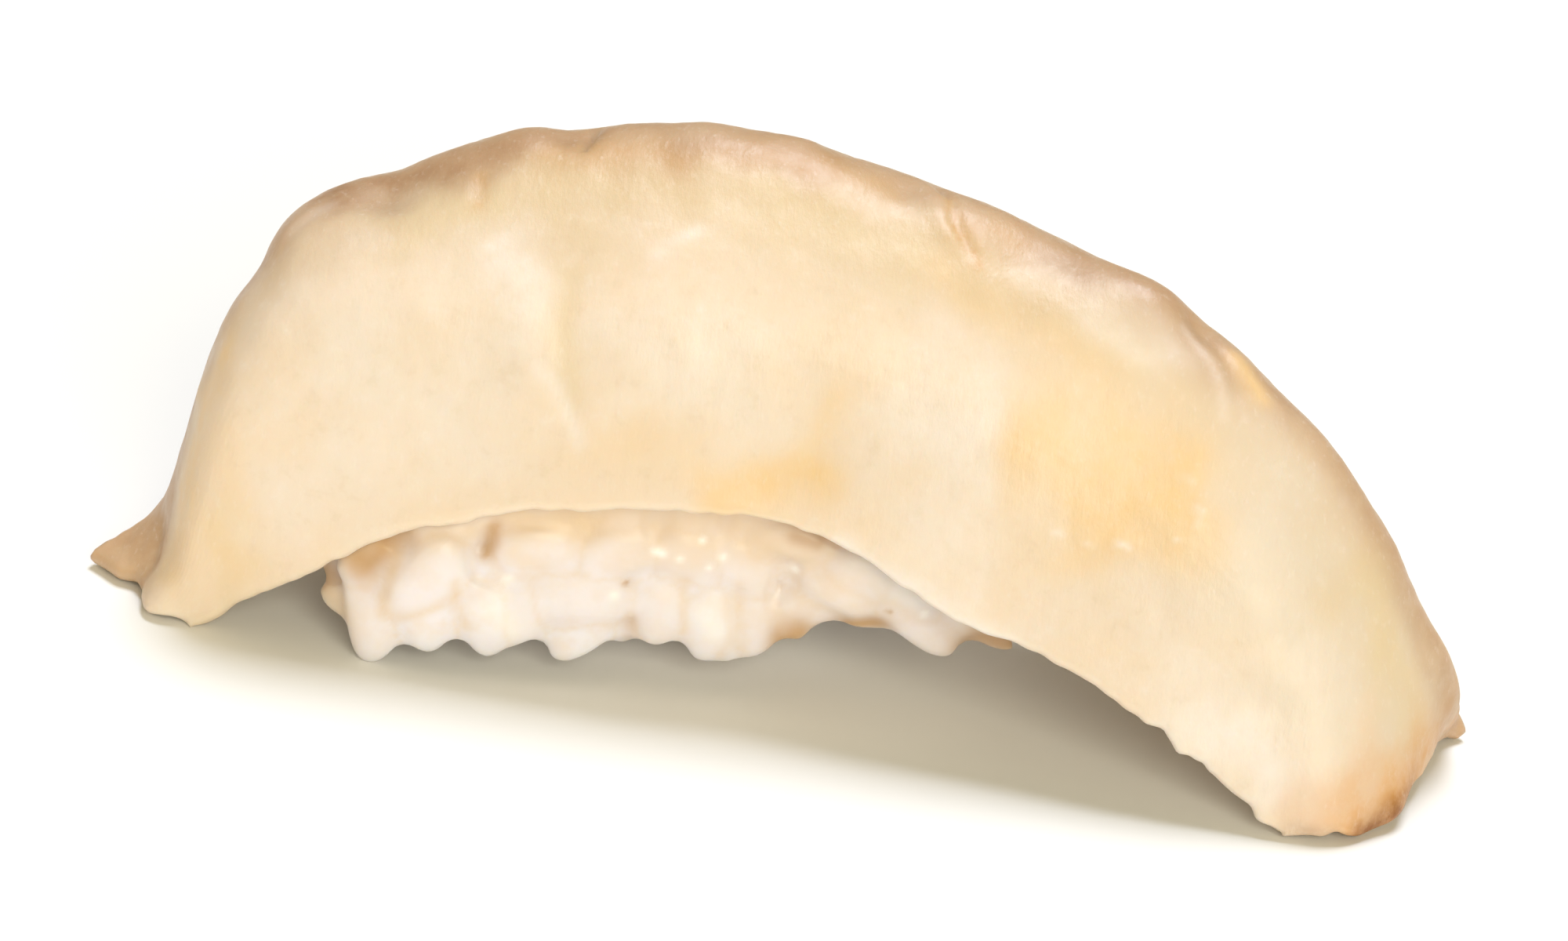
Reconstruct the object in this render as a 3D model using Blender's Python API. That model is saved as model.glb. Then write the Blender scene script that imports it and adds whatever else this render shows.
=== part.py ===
"""A piece of nigiri: a slice of conch meat draped over a hand-pressed block of rice.

Lengths are millimetres here and metres in the scene. X runs along the piece, Y away from its
front, Z up. The origin is on the surface that the piece stands on, under its middle.
"""

import math
import random

import bmesh
import bpy
import numpy as np
from mathutils import Euler, Matrix, Vector

MM = 0.001

MEAT_COLOUR = (0.93, 0.75, 0.5)
MEAT_ROUGHNESS = 0.4
RICE_COLOUR = (0.93, 0.85, 0.72)
RICE_ROUGHNESS = 0.45

# The slice of meat. Each rail runs along its outer skin, from its left end to its right end.
FRONT_EDGE = [
    (-34.9, -5.9, 0.5), (-33.0, -6.3, 1.6), (-30.3, -6.7, 3.4), (-27.3, -7.5, 5.6),
    (-23.3, -8.3, 8.7), (-15.3, -9.1, 11.6), (-5.8, -9.5, 13.2), (3.7, -10.3, 12.5),
    (12.7, -12.4, 9.1), (21.7, -14.5, 6.1), (27.4, -15.5, 2.8), (29.6, -16.1, 1.2),
    (31.4, -16.3, 0.5),
]
FRONT_FACE = [
    (-36.4, -4.5, 0.5), (-35.7, -5.3, 3.2), (-34.8, -5.7, 9.0), (-32.6, -5.7, 16.0),
    (-27.1, -5.1, 21.8), (-16.3, -5.3, 23.8), (-6.3, -5.5, 25.0), (5.2, -6.3, 23.8),
    (15.7, -8.9, 20.5), (25.7, -11.4, 15.5), (32.0, -13.4, 8.6), (34.5, -14.7, 3.8),
    (35.3, -14.9, 0.5),
]
RIDGE = [
    (-38.0, -2.9, 0.5), (-37.4, -1.9, 3.8), (-36.7, -0.7, 9.8), (-35.0, 1.3, 17.2),
    (-30.0, 3.3, 25.1), (-18.3, 4.3, 29.7), (-6.8, 4.5, 31.5), (5.0, 3.1, 30.5),
    (17.4, -0.7, 28.0), (28.1, -4.3, 22.7), (36.4, -7.1, 13.4), (39.6, -6.3, 6.6),
    (39.2, -5.7, 0.6),
]
BACK_FACE = [
    (-40.0, -1.5, 0.6), (-38.1, 0.7, 4.0), (-36.4, 3.8, 8.5), (-33.0, 7.8, 15.5),
    (-27.3, 10.3, 21.0), (-17.3, 12.3, 23.5), (-6.3, 12.9, 24.5), (5.2, 11.9, 23.5),
    (16.5, 8.1, 20.6), (27.8, 3.3, 16.0), (37.2, -1.9, 9.0), (40.5, -2.9, 4.0),
    (40.2, -2.7, 0.6),
]
BACK_EDGE = [
    (-42.0, -0.1, 0.9), (-38.8, 2.5, 3.2), (-35.3, 6.6, 6.0), (-31.3, 10.8, 9.0),
    (-26.3, 13.5, 11.5), (-16.8, 15.5, 13.5), (-6.3, 16.3, 14.5), (5.2, 15.3, 14.0),
    (16.2, 11.8, 12.0), (27.2, 6.8, 9.0), (36.8, 2.7, 4.8), (40.8, 0.9, 2.2),
    (42.0, -0.7, 0.8),
]
RAILS = np.array([FRONT_EDGE, FRONT_FACE, RIDGE, BACK_FACE, BACK_EDGE])

SLICE_THICKNESS = 3.6
SLICE_RIM_THICKNESS = 1.1
SLICE_SHOULDER = 4.5
SLICE_COLUMNS = 48
SLICE_ROWS = 21

# The rice. Its middle, its turn about Z, and at each height its reach to the left, to the
# right, to the front and to the back.
RICE_MIDDLE = (-6.3, 4.4)
RICE_TURN = math.radians(4.5)
RICE_LEVELS = [
    (-1.5, 17.0, 1.0, 5.5, 5.5), (0.0, 18.5, 3.5, 6.4, 6.4), (2.0, 20.0, 7.5, 8.8, 8.2),
    (4.5, 20.6, 14.0, 10.2, 9.2), (8.0, 20.6, 18.5, 10.8, 9.6), (14.0, 20.3, 19.5, 10.8, 9.6),
    (20.0, 19.0, 18.5, 10.6, 9.0), (26.5, 14.0, 13.0, 8.0, 7.0),
]
RICE_LEFT_SQUARENESS = 4
RICE_RIGHT_SQUARENESS = 3
RICE_CLEARANCE = 0.35
CORE_SIDES = 48

# The stretch of the slice that lies over the rice, as shares of its length, and how far above
# the slice the rice is cleared away.
OVER_RICE = (0.15, 0.75)
HEADROOM = 5
TABLE_SIZE = (120, 60, 10)

# The grains that show at the front: X, Z, length, width, and slant down to the right.
FRONT_GRAINS = [
    (-24.9, 2.5, 5.3, 2.8, 58), (-25.7, 2.8, 3.2, 2.2, 13), (-21.0, 5.9, 6.1, 3.3, 126),
    (-20.4, 3.0, 3.7, 2.8, 78), (-17.5, 4.0, 5.3, 3.1, 68), (-15.4, 4.3, 4.9, 2.8, 103),
    (-11.6, 2.9, 4.4, 2.3, -34), (-12.2, 5.5, 6.7, 3.5, -2), (-7.0, 5.0, 4.4, 2.9, 83),
    (-3.8, 4.7, 5.2, 3.1, 81), (-1.6, 4.8, 4.4, 2.3, 90), (1.8, 6.2, 4.7, 2.2, -7),
    (7.9, 5.2, 6.2, 2.7, 33), (0.4, 10.4, 4.9, 2.0, 3), (-14.5, 8.3, 5.6, 2.8, -7),
    (-9.9, 8.6, 5.3, 2.8, -15), (-5.8, 8.6, 4.7, 2.8, 23), (-2.7, 8.3, 4.7, 2.8, 53),
    (3.7, 7.9, 5.1, 2.3, 18), (-24.5, 6.2, 4.6, 2.8, -27), (12.0, 5.6, 5.0, 2.2, 18),
    (0.5, 4.7, 2.8, 1.9, 73), (5.3, 5.9, 3.3, 2.1, 3),
]
FRONT_GRAIN_START = (-23.8, -8.0)
FRONT_GRAIN_SLOPE = 0.1
FRONT_CORNER = -22.3
FRONT_CORNER_BEND = 0.17
FRONT_GRAIN_SPAN = (-25.3, 9.7)

GRAIN_LENGTH = (4.6, 6.2)
GRAIN_WIDTH = (2.5, 3.1)
GRAIN_FLATNESS = 0.85
GRAIN_SPACING = 4.9
GRAIN_ROWS = (1.4, 4.0, 6.8, 9.6, 12.4)
GRAIN_LIFT = 0.8
GRAIN_SLANT = 0.7
GRAIN_SWERVE = 0.4
GRAIN_SEED = 7
GRAIN_VOXEL = 0.55
RICE_TRIANGLES = 4400


def smooth_line(points, at):
    """Points of a Catmull-Rom curve through points, where at runs from 0 to len(points) - 1."""
    points = np.asarray(points, float)
    first = 2 * points[0] - points[1]
    last = 2 * points[-1] - points[-2]
    padded = np.concatenate([first[None], points, last[None]])
    index = np.clip(np.floor(at).astype(int), 0, len(points) - 2)
    t = (at - index).reshape((-1,) + (1,) * (points.ndim - 1))
    p0, p1, p2, p3 = (padded[index + k] for k in range(4))
    return 0.5 * (
        2 * p1
        + (p2 - p0) * t
        + (2 * p0 - 5 * p1 + 4 * p2 - p3) * t**2
        + (3 * p1 - p0 - 3 * p2 + p3) * t**3
    )


def slice_skin(columns, rows):
    """The outer skin of the slice as a grid of points, [column][row]."""
    along = np.linspace(0, RAILS.shape[1] - 1, columns)
    across = np.linspace(0, RAILS.shape[0] - 1, rows)
    stations = smooth_line(RAILS.transpose(1, 0, 2), along)
    return smooth_line(stations.transpose(1, 0, 2), across).transpose(1, 0, 2)


def grid_normals(grid):
    """Outward unit normals of a grid that runs left to right and front to back."""
    normals = np.cross(np.gradient(grid, axis=0), np.gradient(grid, axis=1))
    return normals / np.linalg.norm(normals, axis=2, keepdims=True)


def rim_distance(grid):
    """How far each point of the grid is from the slice's rim, measured along the grid."""
    steps_along = np.linalg.norm(np.diff(grid, axis=0), axis=2)
    steps_across = np.linalg.norm(np.diff(grid, axis=1), axis=2)
    along = np.pad(np.cumsum(steps_along, axis=0), ((1, 0), (0, 0)))
    across = np.pad(np.cumsum(steps_across, axis=1), ((0, 0), (1, 0)))
    return np.minimum(
        np.minimum(along, along[-1:] - along), np.minimum(across, across[:, -1:] - across)
    )


def slice_thickness(grid):
    """Full thickness inside, thinning to the rim in a round shoulder."""
    inward = np.clip(rim_distance(grid) / SLICE_SHOULDER, 0, 1)
    shoulder = np.sqrt(1 - (1 - inward) ** 2)
    return SLICE_RIM_THICKNESS + (SLICE_THICKNESS - SLICE_RIM_THICKNESS) * shoulder


def widened(grid, reach):
    """The grid with its outermost points moved outwards along it by reach."""
    grid = grid.copy()
    for edge, inner in ((0, 1), (-1, -2)):
        step = grid[edge] - grid[inner]
        grid[edge] += step / np.linalg.norm(step, axis=1, keepdims=True) * reach
        step = grid[:, edge] - grid[:, inner]
        grid[:, edge] += step / np.linalg.norm(step, axis=1, keepdims=True) * reach
    return grid


def shell_between(outer, inner):
    """A closed mesh with a grid of points as its outer skin and another as its inner one."""
    columns, rows = outer.shape[:2]
    shell = bmesh.new()
    top = [[shell.verts.new(Vector(point) * MM) for point in line] for line in outer]
    under = [[shell.verts.new(Vector(point) * MM) for point in line] for line in inner]
    for i in range(columns - 1):
        for j in range(rows - 1):
            shell.faces.new((top[i][j], top[i + 1][j], top[i + 1][j + 1], top[i][j + 1]))
            shell.faces.new((under[i][j], under[i][j + 1], under[i + 1][j + 1], under[i + 1][j]))
    rim = [(i, 0) for i in range(columns)]
    rim += [(columns - 1, j) for j in range(1, rows)]
    rim += [(i, rows - 1) for i in range(columns - 2, -1, -1)]
    rim += [(0, j) for j in range(rows - 2, 0, -1)]
    for (i, j), (k, m) in zip(rim, rim[1:] + rim[:1]):
        shell.faces.new((top[i][j], under[i][j], under[k][m], top[k][m]))
    return shell


def rice_ring(level):
    """One closed line around the rice, at the height of a level."""
    height, left, right, front, back = level
    ring = []
    for k in range(CORE_SIDES):
        angle = 2 * math.pi * k / CORE_SIDES
        c, s = math.cos(angle), math.sin(angle)
        power = 2 / (RICE_RIGHT_SQUARENESS if c > 0 else RICE_LEFT_SQUARENESS)
        u = math.copysign(abs(c) ** power, c) * (right if c > 0 else left)
        v = math.copysign(abs(s) ** power, s) * (back if s > 0 else front)
        x = RICE_MIDDLE[0] + u * math.cos(RICE_TURN) - v * math.sin(RICE_TURN)
        y = RICE_MIDDLE[1] + u * math.sin(RICE_TURN) + v * math.cos(RICE_TURN)
        ring.append(Vector((x, y, height)))
    return ring


def rice_ring_at(height):
    """The line around the rice at any height."""
    heights = [level[0] for level in RICE_LEVELS]
    sizes = [np.interp(height, heights, [level[k] for level in RICE_LEVELS]) for k in (1, 2, 3, 4)]
    return rice_ring((height, *sizes))


def add_core(rice):
    """The pressed inside of the rice, as a stack of rings."""
    rings = [[rice.verts.new(p * MM) for p in rice_ring(level)] for level in RICE_LEVELS]
    for low, high in zip(rings, rings[1:]):
        for k in range(CORE_SIDES):
            n = (k + 1) % CORE_SIDES
            rice.faces.new((low[k], low[n], high[n], high[k]))
    rice.faces.new(rings[0][::-1])
    rice.faces.new(rings[-1])


def add_grain(rice, place, length, width, turn):
    size = Matrix.Diagonal((length / 2, width * GRAIN_FLATNESS / 2, width / 2, 1))
    matrix = Matrix.Scale(MM, 4) @ Matrix.Translation(place) @ turn.to_4x4() @ size
    bmesh.ops.create_icosphere(rice, subdivisions=2, radius=1, matrix=matrix)


def add_front_grains(rice):
    start_x, start_y = FRONT_GRAIN_START
    for x, z, length, width, slant in FRONT_GRAINS:
        bend = FRONT_CORNER_BEND * max(FRONT_CORNER - x, 0) ** 2
        place = Vector((x, start_y + FRONT_GRAIN_SLOPE * (x - start_x) + bend, z))
        turn = Euler((0, math.radians(slant), math.atan(FRONT_GRAIN_SLOPE))).to_matrix()
        add_grain(rice, place, length, width, turn)


def add_side_grains(rice):
    """Rows of grains in the rice's skin, all around but for the stretch of the front grains."""
    chance = random.Random(GRAIN_SEED)
    front_left, front_right = FRONT_GRAIN_SPAN
    for height in GRAIN_ROWS:
        ring = rice_ring_at(height)
        travelled = chance.uniform(0, GRAIN_SPACING)
        for k, point in enumerate(ring):
            step = ring[(k + 1) % CORE_SIDES] - point
            travelled += step.length
            at_front = step.x > abs(step.y) and front_left < point.x < front_right
            if travelled < GRAIN_SPACING or at_front:
                continue
            travelled -= GRAIN_SPACING
            slant = chance.uniform(-GRAIN_SLANT, GRAIN_SLANT)
            swerve = chance.uniform(-GRAIN_SWERVE, GRAIN_SWERVE)
            turn = Euler((0, slant, math.atan2(step.y, step.x) + swerve))
            place = point + Vector((0, 0, chance.uniform(-GRAIN_LIFT, GRAIN_LIFT)))
            length = chance.uniform(*GRAIN_LENGTH)
            width = chance.uniform(*GRAIN_WIDTH)
            add_grain(rice, place, length, width, turn.to_matrix())


def mesh_object(name, shape):
    data = bpy.data.meshes.new(name)
    shape.to_mesh(data)
    shape.free()
    thing = bpy.data.objects.new(name, data)
    bpy.context.scene.collection.objects.link(thing)
    return thing


def cutter_object(name, shape):
    cutter = mesh_object(name, shape)
    cutter.hide_render = True
    cutter.display_type = "WIRE"
    return cutter


def principled(name, colour, roughness):
    material = bpy.data.materials.new(name)
    material.use_nodes = True
    shader = material.node_tree.nodes["Principled BSDF"]
    shader.inputs["Base Color"].default_value = (*colour, 1)
    shader.inputs["Roughness"].default_value = roughness
    shader.inputs["Metallic"].default_value = 0
    return material


def cut_away(thing, cutter):
    cut = thing.modifiers.new("cut by " + cutter.name, "BOOLEAN")
    cut.operation = "DIFFERENCE"
    cut.solver = "EXACT"
    cut.object = cutter


def make_slice():
    outer = slice_skin(SLICE_COLUMNS, SLICE_ROWS)
    inner = outer - grid_normals(outer) * slice_thickness(outer)[..., None]
    inner[..., 2] = np.maximum(inner[..., 2], 0)
    thing = mesh_object("conch_slice", shell_between(outer, inner))
    thing.data.materials.append(principled("conch_meat", MEAT_COLOUR, MEAT_ROUGHNESS))
    thing.data.shade_smooth()
    return thing


def slice_clearance():
    """All that the rice keeps clear of: the slice, a thin gap around it and what is above it."""
    whole = slice_skin(SLICE_COLUMNS, SLICE_ROWS)
    over_rice = slice(*(round(share * SLICE_COLUMNS) for share in OVER_RICE))
    grid = whole[over_rice]
    normals = grid_normals(whole)[over_rice]
    depth = slice_thickness(whole)[over_rice, :, None] + RICE_CLEARANCE
    outer = widened(grid + normals * HEADROOM, RICE_CLEARANCE)
    inner = widened(grid - normals * depth, RICE_CLEARANCE)
    return cutter_object("slice_clearance", shell_between(outer, inner))


def table():
    slab = bmesh.new()
    size = Vector(TABLE_SIZE) * MM
    matrix = Matrix.Translation((0, 0, -size.z / 2)) @ Matrix.Diagonal((*size, 1))
    bmesh.ops.create_cube(slab, size=1, matrix=matrix)
    return cutter_object("table", slab)


def make_rice():
    """The core and its grains, grown together and cut to fit the slice and the table."""
    rice = bmesh.new()
    add_core(rice)
    add_front_grains(rice)
    add_side_grains(rice)
    thing = mesh_object("rice_block", rice)
    thing.data.materials.append(principled("cooked_rice", RICE_COLOUR, RICE_ROUGHNESS))
    fuse = thing.modifiers.new("fuse grains", "REMESH")
    fuse.mode = "VOXEL"
    fuse.voxel_size = GRAIN_VOXEL * MM
    bpy.context.view_layer.update()
    fused = thing.evaluated_get(bpy.context.evaluated_depsgraph_get())
    fused_triangles = 2 * len(fused.data.polygons)
    coarsen = thing.modifiers.new("coarsen", "DECIMATE")
    coarsen.ratio = RICE_TRIANGLES / fused_triangles
    cut_away(thing, slice_clearance())
    cut_away(thing, table())
    return thing


def main():
    for thing in list(bpy.data.objects):
        bpy.data.objects.remove(thing)
    make_slice()
    make_rice()


main()
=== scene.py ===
"""Looks of a piece of nigiri: a slice of conch meat over a hand-pressed block of rice.

Sizes and places are millimetres in the frame of the part, turned to metres where Blender takes
them: X runs along the piece, Y away from its front, Z up from the surface it lies on.
"""

import math
import random

import bpy
import numpy as np
from mathutils import Euler, Matrix, Vector
from mathutils.bvhtree import BVHTree


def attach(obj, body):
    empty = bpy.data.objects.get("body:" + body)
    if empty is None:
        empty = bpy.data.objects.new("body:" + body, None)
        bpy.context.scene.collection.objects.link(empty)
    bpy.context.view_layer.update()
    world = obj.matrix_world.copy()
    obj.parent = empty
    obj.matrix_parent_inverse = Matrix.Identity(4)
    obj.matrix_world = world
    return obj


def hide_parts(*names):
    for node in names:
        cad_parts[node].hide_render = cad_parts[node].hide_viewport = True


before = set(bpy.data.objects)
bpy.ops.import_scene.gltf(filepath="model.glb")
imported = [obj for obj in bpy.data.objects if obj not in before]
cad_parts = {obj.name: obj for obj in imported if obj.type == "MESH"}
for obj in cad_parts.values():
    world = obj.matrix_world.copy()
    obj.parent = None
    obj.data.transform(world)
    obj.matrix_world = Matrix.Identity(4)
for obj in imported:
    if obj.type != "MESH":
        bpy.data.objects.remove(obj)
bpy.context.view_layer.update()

MM = 0.001

# The camera: what it looks at, how far away it stands, its height angle, its roll, the width
# of its frame in pixels and its scale.
CAMERA_TARGET = Vector((-0.85, -2.7, 13.5))
CAMERA_DISTANCE = 360
CAMERA_ELEVATION = math.radians(25)
CAMERA_ROLL = math.radians(7)
FRAME_WIDTH = 2000
PIXELS_PER_MM = 21.5
SENSOR_WIDTH = 36
CLIP_START = 0.01

# How much longer or shorter than its set length a wave may be.
WAVE_SPREAD = (0.7, 1.4)

# The slice. Each rail runs along its outer skin, from its left end to its right end.
FRONT_EDGE = [
    (-34.9, -5.9, 0.5), (-33.0, -6.3, 1.6), (-30.3, -6.7, 3.4), (-27.3, -7.5, 5.6),
    (-23.3, -8.3, 8.7), (-15.3, -9.1, 11.6), (-5.8, -9.5, 13.2), (3.7, -10.3, 12.5),
    (12.7, -12.4, 9.1), (21.7, -14.5, 6.1), (27.4, -15.5, 2.8), (29.6, -16.1, 1.2),
    (31.4, -16.3, 0.5),
]
FRONT_FACE = [
    (-36.4, -4.5, 0.5), (-35.7, -5.3, 3.2), (-34.8, -5.7, 9.0), (-32.6, -5.7, 16.0),
    (-27.1, -5.1, 21.8), (-16.3, -5.3, 23.8), (-6.3, -5.5, 25.0), (5.2, -6.3, 23.8),
    (15.7, -8.9, 20.5), (25.7, -11.4, 15.5), (32.0, -13.4, 8.6), (34.5, -14.7, 3.8),
    (35.3, -14.9, 0.5),
]
RIDGE = [
    (-38.0, -2.9, 0.5), (-37.4, -1.9, 3.8), (-36.7, -0.7, 9.8), (-35.0, 1.3, 17.2),
    (-30.0, 3.3, 25.1), (-18.3, 4.3, 29.7), (-6.8, 4.5, 31.5), (5.0, 3.1, 30.5),
    (17.4, -0.7, 28.0), (28.1, -4.3, 22.7), (36.4, -7.1, 13.4), (39.6, -6.3, 6.6),
    (39.2, -5.7, 0.6),
]
BACK_FACE = [
    (-40.0, -1.5, 0.6), (-38.1, 0.7, 4.0), (-36.4, 3.8, 8.5), (-33.0, 7.8, 15.5),
    (-27.3, 10.3, 21.0), (-17.3, 12.3, 23.5), (-6.3, 12.9, 24.5), (5.2, 11.9, 23.5),
    (16.5, 8.1, 20.6), (27.8, 3.3, 16.0), (37.2, -1.9, 9.0), (40.5, -2.9, 4.0),
    (40.2, -2.7, 0.6),
]
BACK_EDGE = [
    (-42.0, -0.1, 0.9), (-38.8, 2.5, 3.2), (-35.3, 6.6, 6.0), (-31.3, 10.8, 9.0),
    (-26.3, 13.5, 11.5), (-16.8, 15.5, 13.5), (-6.3, 16.3, 14.5), (5.2, 15.3, 14.0),
    (16.2, 11.8, 12.0), (27.2, 6.8, 9.0), (36.8, 2.7, 4.8), (40.8, 0.9, 2.2),
    (42.0, -0.7, 0.8),
]
RAILS = np.array([FRONT_EDGE, FRONT_FACE, RIDGE, BACK_FACE, BACK_EDGE])

# The slice's thickness inside and at its rim, how far the shoulder between them reaches, the
# points of its grid and of its round rim, and how far the grid is set in from the rails' ends.
SLICE_THICKNESS = 3.6
SLICE_RIM_THICKNESS = 1.1
SLICE_SHOULDER = 4.5
SLICE_COLUMNS = 340
SLICE_ROWS = 130
RIM_STEPS = 5
RIM_INSET_ALONG = 0.18
RIM_INSET_ACROSS = 0.05

# Creases and ridges of the skin: path, half width, and height, below nought for a crease.
CREASES = [
    ([(-14.9, -4.0, 25.7), (-14.5, -5.8, 23.3), (-14.1, -6.9, 20.8), (-13.6, -7.5, 19.1),
      (-12.7, -8.1, 16.9)], 1.0, -0.08),
    ([(-17.5, -6.2, 22.0), (-16.9, -6.8, 20.6), (-15.4, -7.5, 18.3), (-13.9, -8.0, 17.0),
      (-12.6, -8.3, 16.0)], 0.45, 0.09),
    ([(-18.4, -3.3, 25.8), (-17.0, -5.6, 23.2), (-16.1, -6.8, 20.9), (-14.6, -7.5, 18.6)],
     1.5, 0.20),
    ([(-20.8, 1.6, 28.5), (-20.5, 0.3, 27.9), (-20.5, -0.7, 27.2)], 0.45, -0.22),
    ([(-32.4, -1.3, 21.0), (-30.2, 0.8, 24.4), (-29.4, 2.0, 25.2)], 0.5, -0.07),
    ([(-31.4, -2.2, 21.2), (-29.4, -0.4, 23.9), (-27.6, 0.8, 25.6)], 0.9, 0.05),
    ([(5.6, 6.0, 30.6), (6.6, 2.9, 30.3), (7.5, -0.2, 29.3), (9.2, -2.6, 27.8)], 0.3, -0.30),
    ([(4.6, 6.0, 30.8), (5.6, 2.9, 30.5), (6.5, 0.0, 29.6), (7.8, -2.0, 28.4)], 0.7, 0.16),
    ([(20.9, -2.2, 26.4), (22.3, -4.1, 25.4), (24.0, -5.8, 23.6), (24.4, -7.2, 22.1)], 0.7, 0.11),
    ([(23.2, -2.6, 25.5), (24.2, -4.6, 24.4), (25.0, -6.6, 22.6)], 0.5, -0.25),
    ([(-9.4, -3.8, 26.7), (-7.5, -2.6, 28.0)], 0.5, 0.08),
    ([(-37.9, 0.1, 4.9), (-37.7, -1.2, 3.6), (-37.8, -1.7, 2.8), (-37.8, -2.8, 1.2)],
     0.6, -0.22),
    ([(-14.9, 2.0, 30.0), (-14.7, 3.4, 30.4), (-14.5, 4.8, 30.5), (-14.3, 6.4, 30.2)],
     0.32, -0.45),
]
# The share of a crease's length over which it fades out at each end.
CREASE_TAPER = 0.25

# Wide swellings and hollows: middle, reach, and height.
SWELLINGS = [
    ((-1.1, -9.2, 15.4), 3.4, -0.50), ((1.2, -8.4, 18.6), 2.6, -0.30),
    ((17.5, -9.8, 18.8), 5.5, -0.35), ((19.4, -1.9, 27.2), 2.8, 0.55),
    ((-7.4, 4.5, 31.5), 2.6, 0.40), ((-26.2, 1.7, 27.0), 3.0, -1.25),
    ((0.8, 4.0, 31.0), 2.2, -0.20), ((-2.0, 4.6, 31.2), 1.5, 0.20), ((-18.6, 4.4, 29.6), 2.4, 0.50),
    ((-3.4, 5.0, 31.3), 2.6, 0.20), ((-15.4, 4.2, 30.4), 1.5, -0.55),
    ((4.2, 2.6, 30.6), 1.9, -0.45), ((13.0, -0.3, 29.0), 3.0, -0.50),
    ((22.4, -2.6, 25.9), 1.5, -0.75), ((27.8, -4.2, 23.1), 2.8, -0.40),
    ((37.2, -7.2, 10.8), 3.2, -0.70), ((-31.8, 1.0, 23.4), 2.4, 0.38),
    ((-34.4, -0.6, 18.4), 2.0, 0.30), ((-8.0, -7.6, 20.0), 5.0, 0.25),
    ((9.5, -8.6, 19.5), 3.8, 0.20), ((31.0, -14.4, 6.0), 3.6, 0.20),
    ((27.5, -10.2, 17.0), 4.0, 0.20), ((-27.0, -6.8, 15.0), 5.0, 0.20),
    ((-36.2, -1.4, 13.4), 0.9, 0.25), ((-26.0, 5.5, 26.6), 2.6, -0.35),
    ((-33.6, 2.4, 20.6), 1.8, -0.30),
    ((15.1, -10.9, 15.4), 0.35, 0.10), ((17.0, -11.2, 15.3), 0.40, 0.10),
    ((19.0, -11.3, 15.5), 0.50, 0.12), ((19.9, -11.3, 15.7), 0.35, 0.08),
    ((22.2, -11.2, 16.1), 0.35, 0.08), ((23.3, -10.3, 17.8), 0.40, 0.10),
    ((23.4, -10.8, 17.0), 0.35, 0.10), ((22.6, -9.4, 19.3), 0.35, 0.08),
]

# The fine unevenness of the skin: height, length, seed, number and stretch of its waves.
SKIN_WAVES = [
    (0.10, 9, 3, 10, (1, 1, 1)), (0.035, 3.2, 4, 10, (1, 1, 1)),
    (0.018, 1.5, 5, 16, (1.6, 0.8, 0.6)),
]
# The unevenness of the slice's under side: height, length and seed of its waves.
INNER_WAVES = (0.12, 4, 6)

# The rice: its middle, its turn about Z, and at each height its reach to the left, to the
# right, to the front and to the back.
RICE_MIDDLE = (-6.3, 4.4)
RICE_TURN = math.radians(4.5)
RICE_LEVELS = [
    (-1.5, 17.0, 1.0, 5.5, 5.5), (0.0, 18.5, 3.5, 6.4, 6.4), (2.0, 20.0, 7.5, 8.8, 8.2),
    (4.5, 20.6, 14.0, 10.2, 9.2), (8.0, 20.6, 18.5, 10.8, 9.6), (14.0, 20.3, 19.5, 10.8, 9.6),
    (20.0, 19.0, 18.5, 10.6, 9.0), (26.5, 14.0, 13.0, 8.0, 7.0),
]
RICE_LEFT_SQUARENESS = 4
RICE_RIGHT_SQUARENESS = 3

# The pressed inside of the rice: its points around and up, how far it is set in, its bottom,
# the shares of the top ring that close it, the waves of its sides (height, length, seed), and
# where and how far it is cut back under the front.
CORE_SIDES = 96
CORE_STEPS = 40
CORE_INSET = 0.6
CORE_BOTTOM = 0.3
CORE_LID = (0.8, 0.6, 0.4, 0.2)
CORE_WAVES = (0.25, 3.0, 41)
UNDERCUT_HEIGHT = (3.4, 0.3)
UNDERCUT_REACH = (2.0, -3.0)
CORE_UNDERCUT = 2.2

# How far the rice keeps below the slice, and how little of a point's distance from the slice
# may be through its thickness before the point counts as beside its rim.
RICE_CLEARANCE = 0.15
BESIDE_RIM = 0.8

# The grains that show at the front: X, Z, length, width, and slant down to the right.
FRONT_GRAINS = [
    (-24.3, 2.4, 5.1, 3.1, 70), (-25.9, 3.0, 3.2, 2.0, 13), (-21.0, 6.1, 6.4, 4.0, 126),
    (-20.7, 3.1, 3.9, 3.4, 78), (-17.4, 3.8, 5.3, 3.8, 68), (-15.4, 4.3, 4.9, 3.3, 103),
    (-11.6, 2.9, 4.4, 2.3, -34), (-12.2, 5.5, 6.7, 3.7, -2), (-7.1, 5.0, 4.4, 3.3, 83),
    (-4.1, 4.6, 5.2, 3.9, 81), (-1.8, 4.7, 4.6, 3.3, 90), (-3.0, 4.5, 5.0, 2.8, 85),
    (1.8, 6.2, 4.7, 2.4, -7), (0.4, 10.4, 4.9, 2.4, 3), (-14.5, 8.5, 5.8, 3.2, -7),
    (-9.9, 8.8, 5.5, 3.2, -15), (-5.8, 8.8, 5.0, 3.2, 23), (-2.7, 8.3, 4.9, 3.1, 53),
    (-24.5, 6.4, 4.6, 2.8, -27), (12.5, 5.3, 3.6, 1.7, 25), (0.7, 5.2, 2.8, 1.9, 60),
    (5.3, 6.0, 3.4, 2.2, 3),
]
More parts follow.
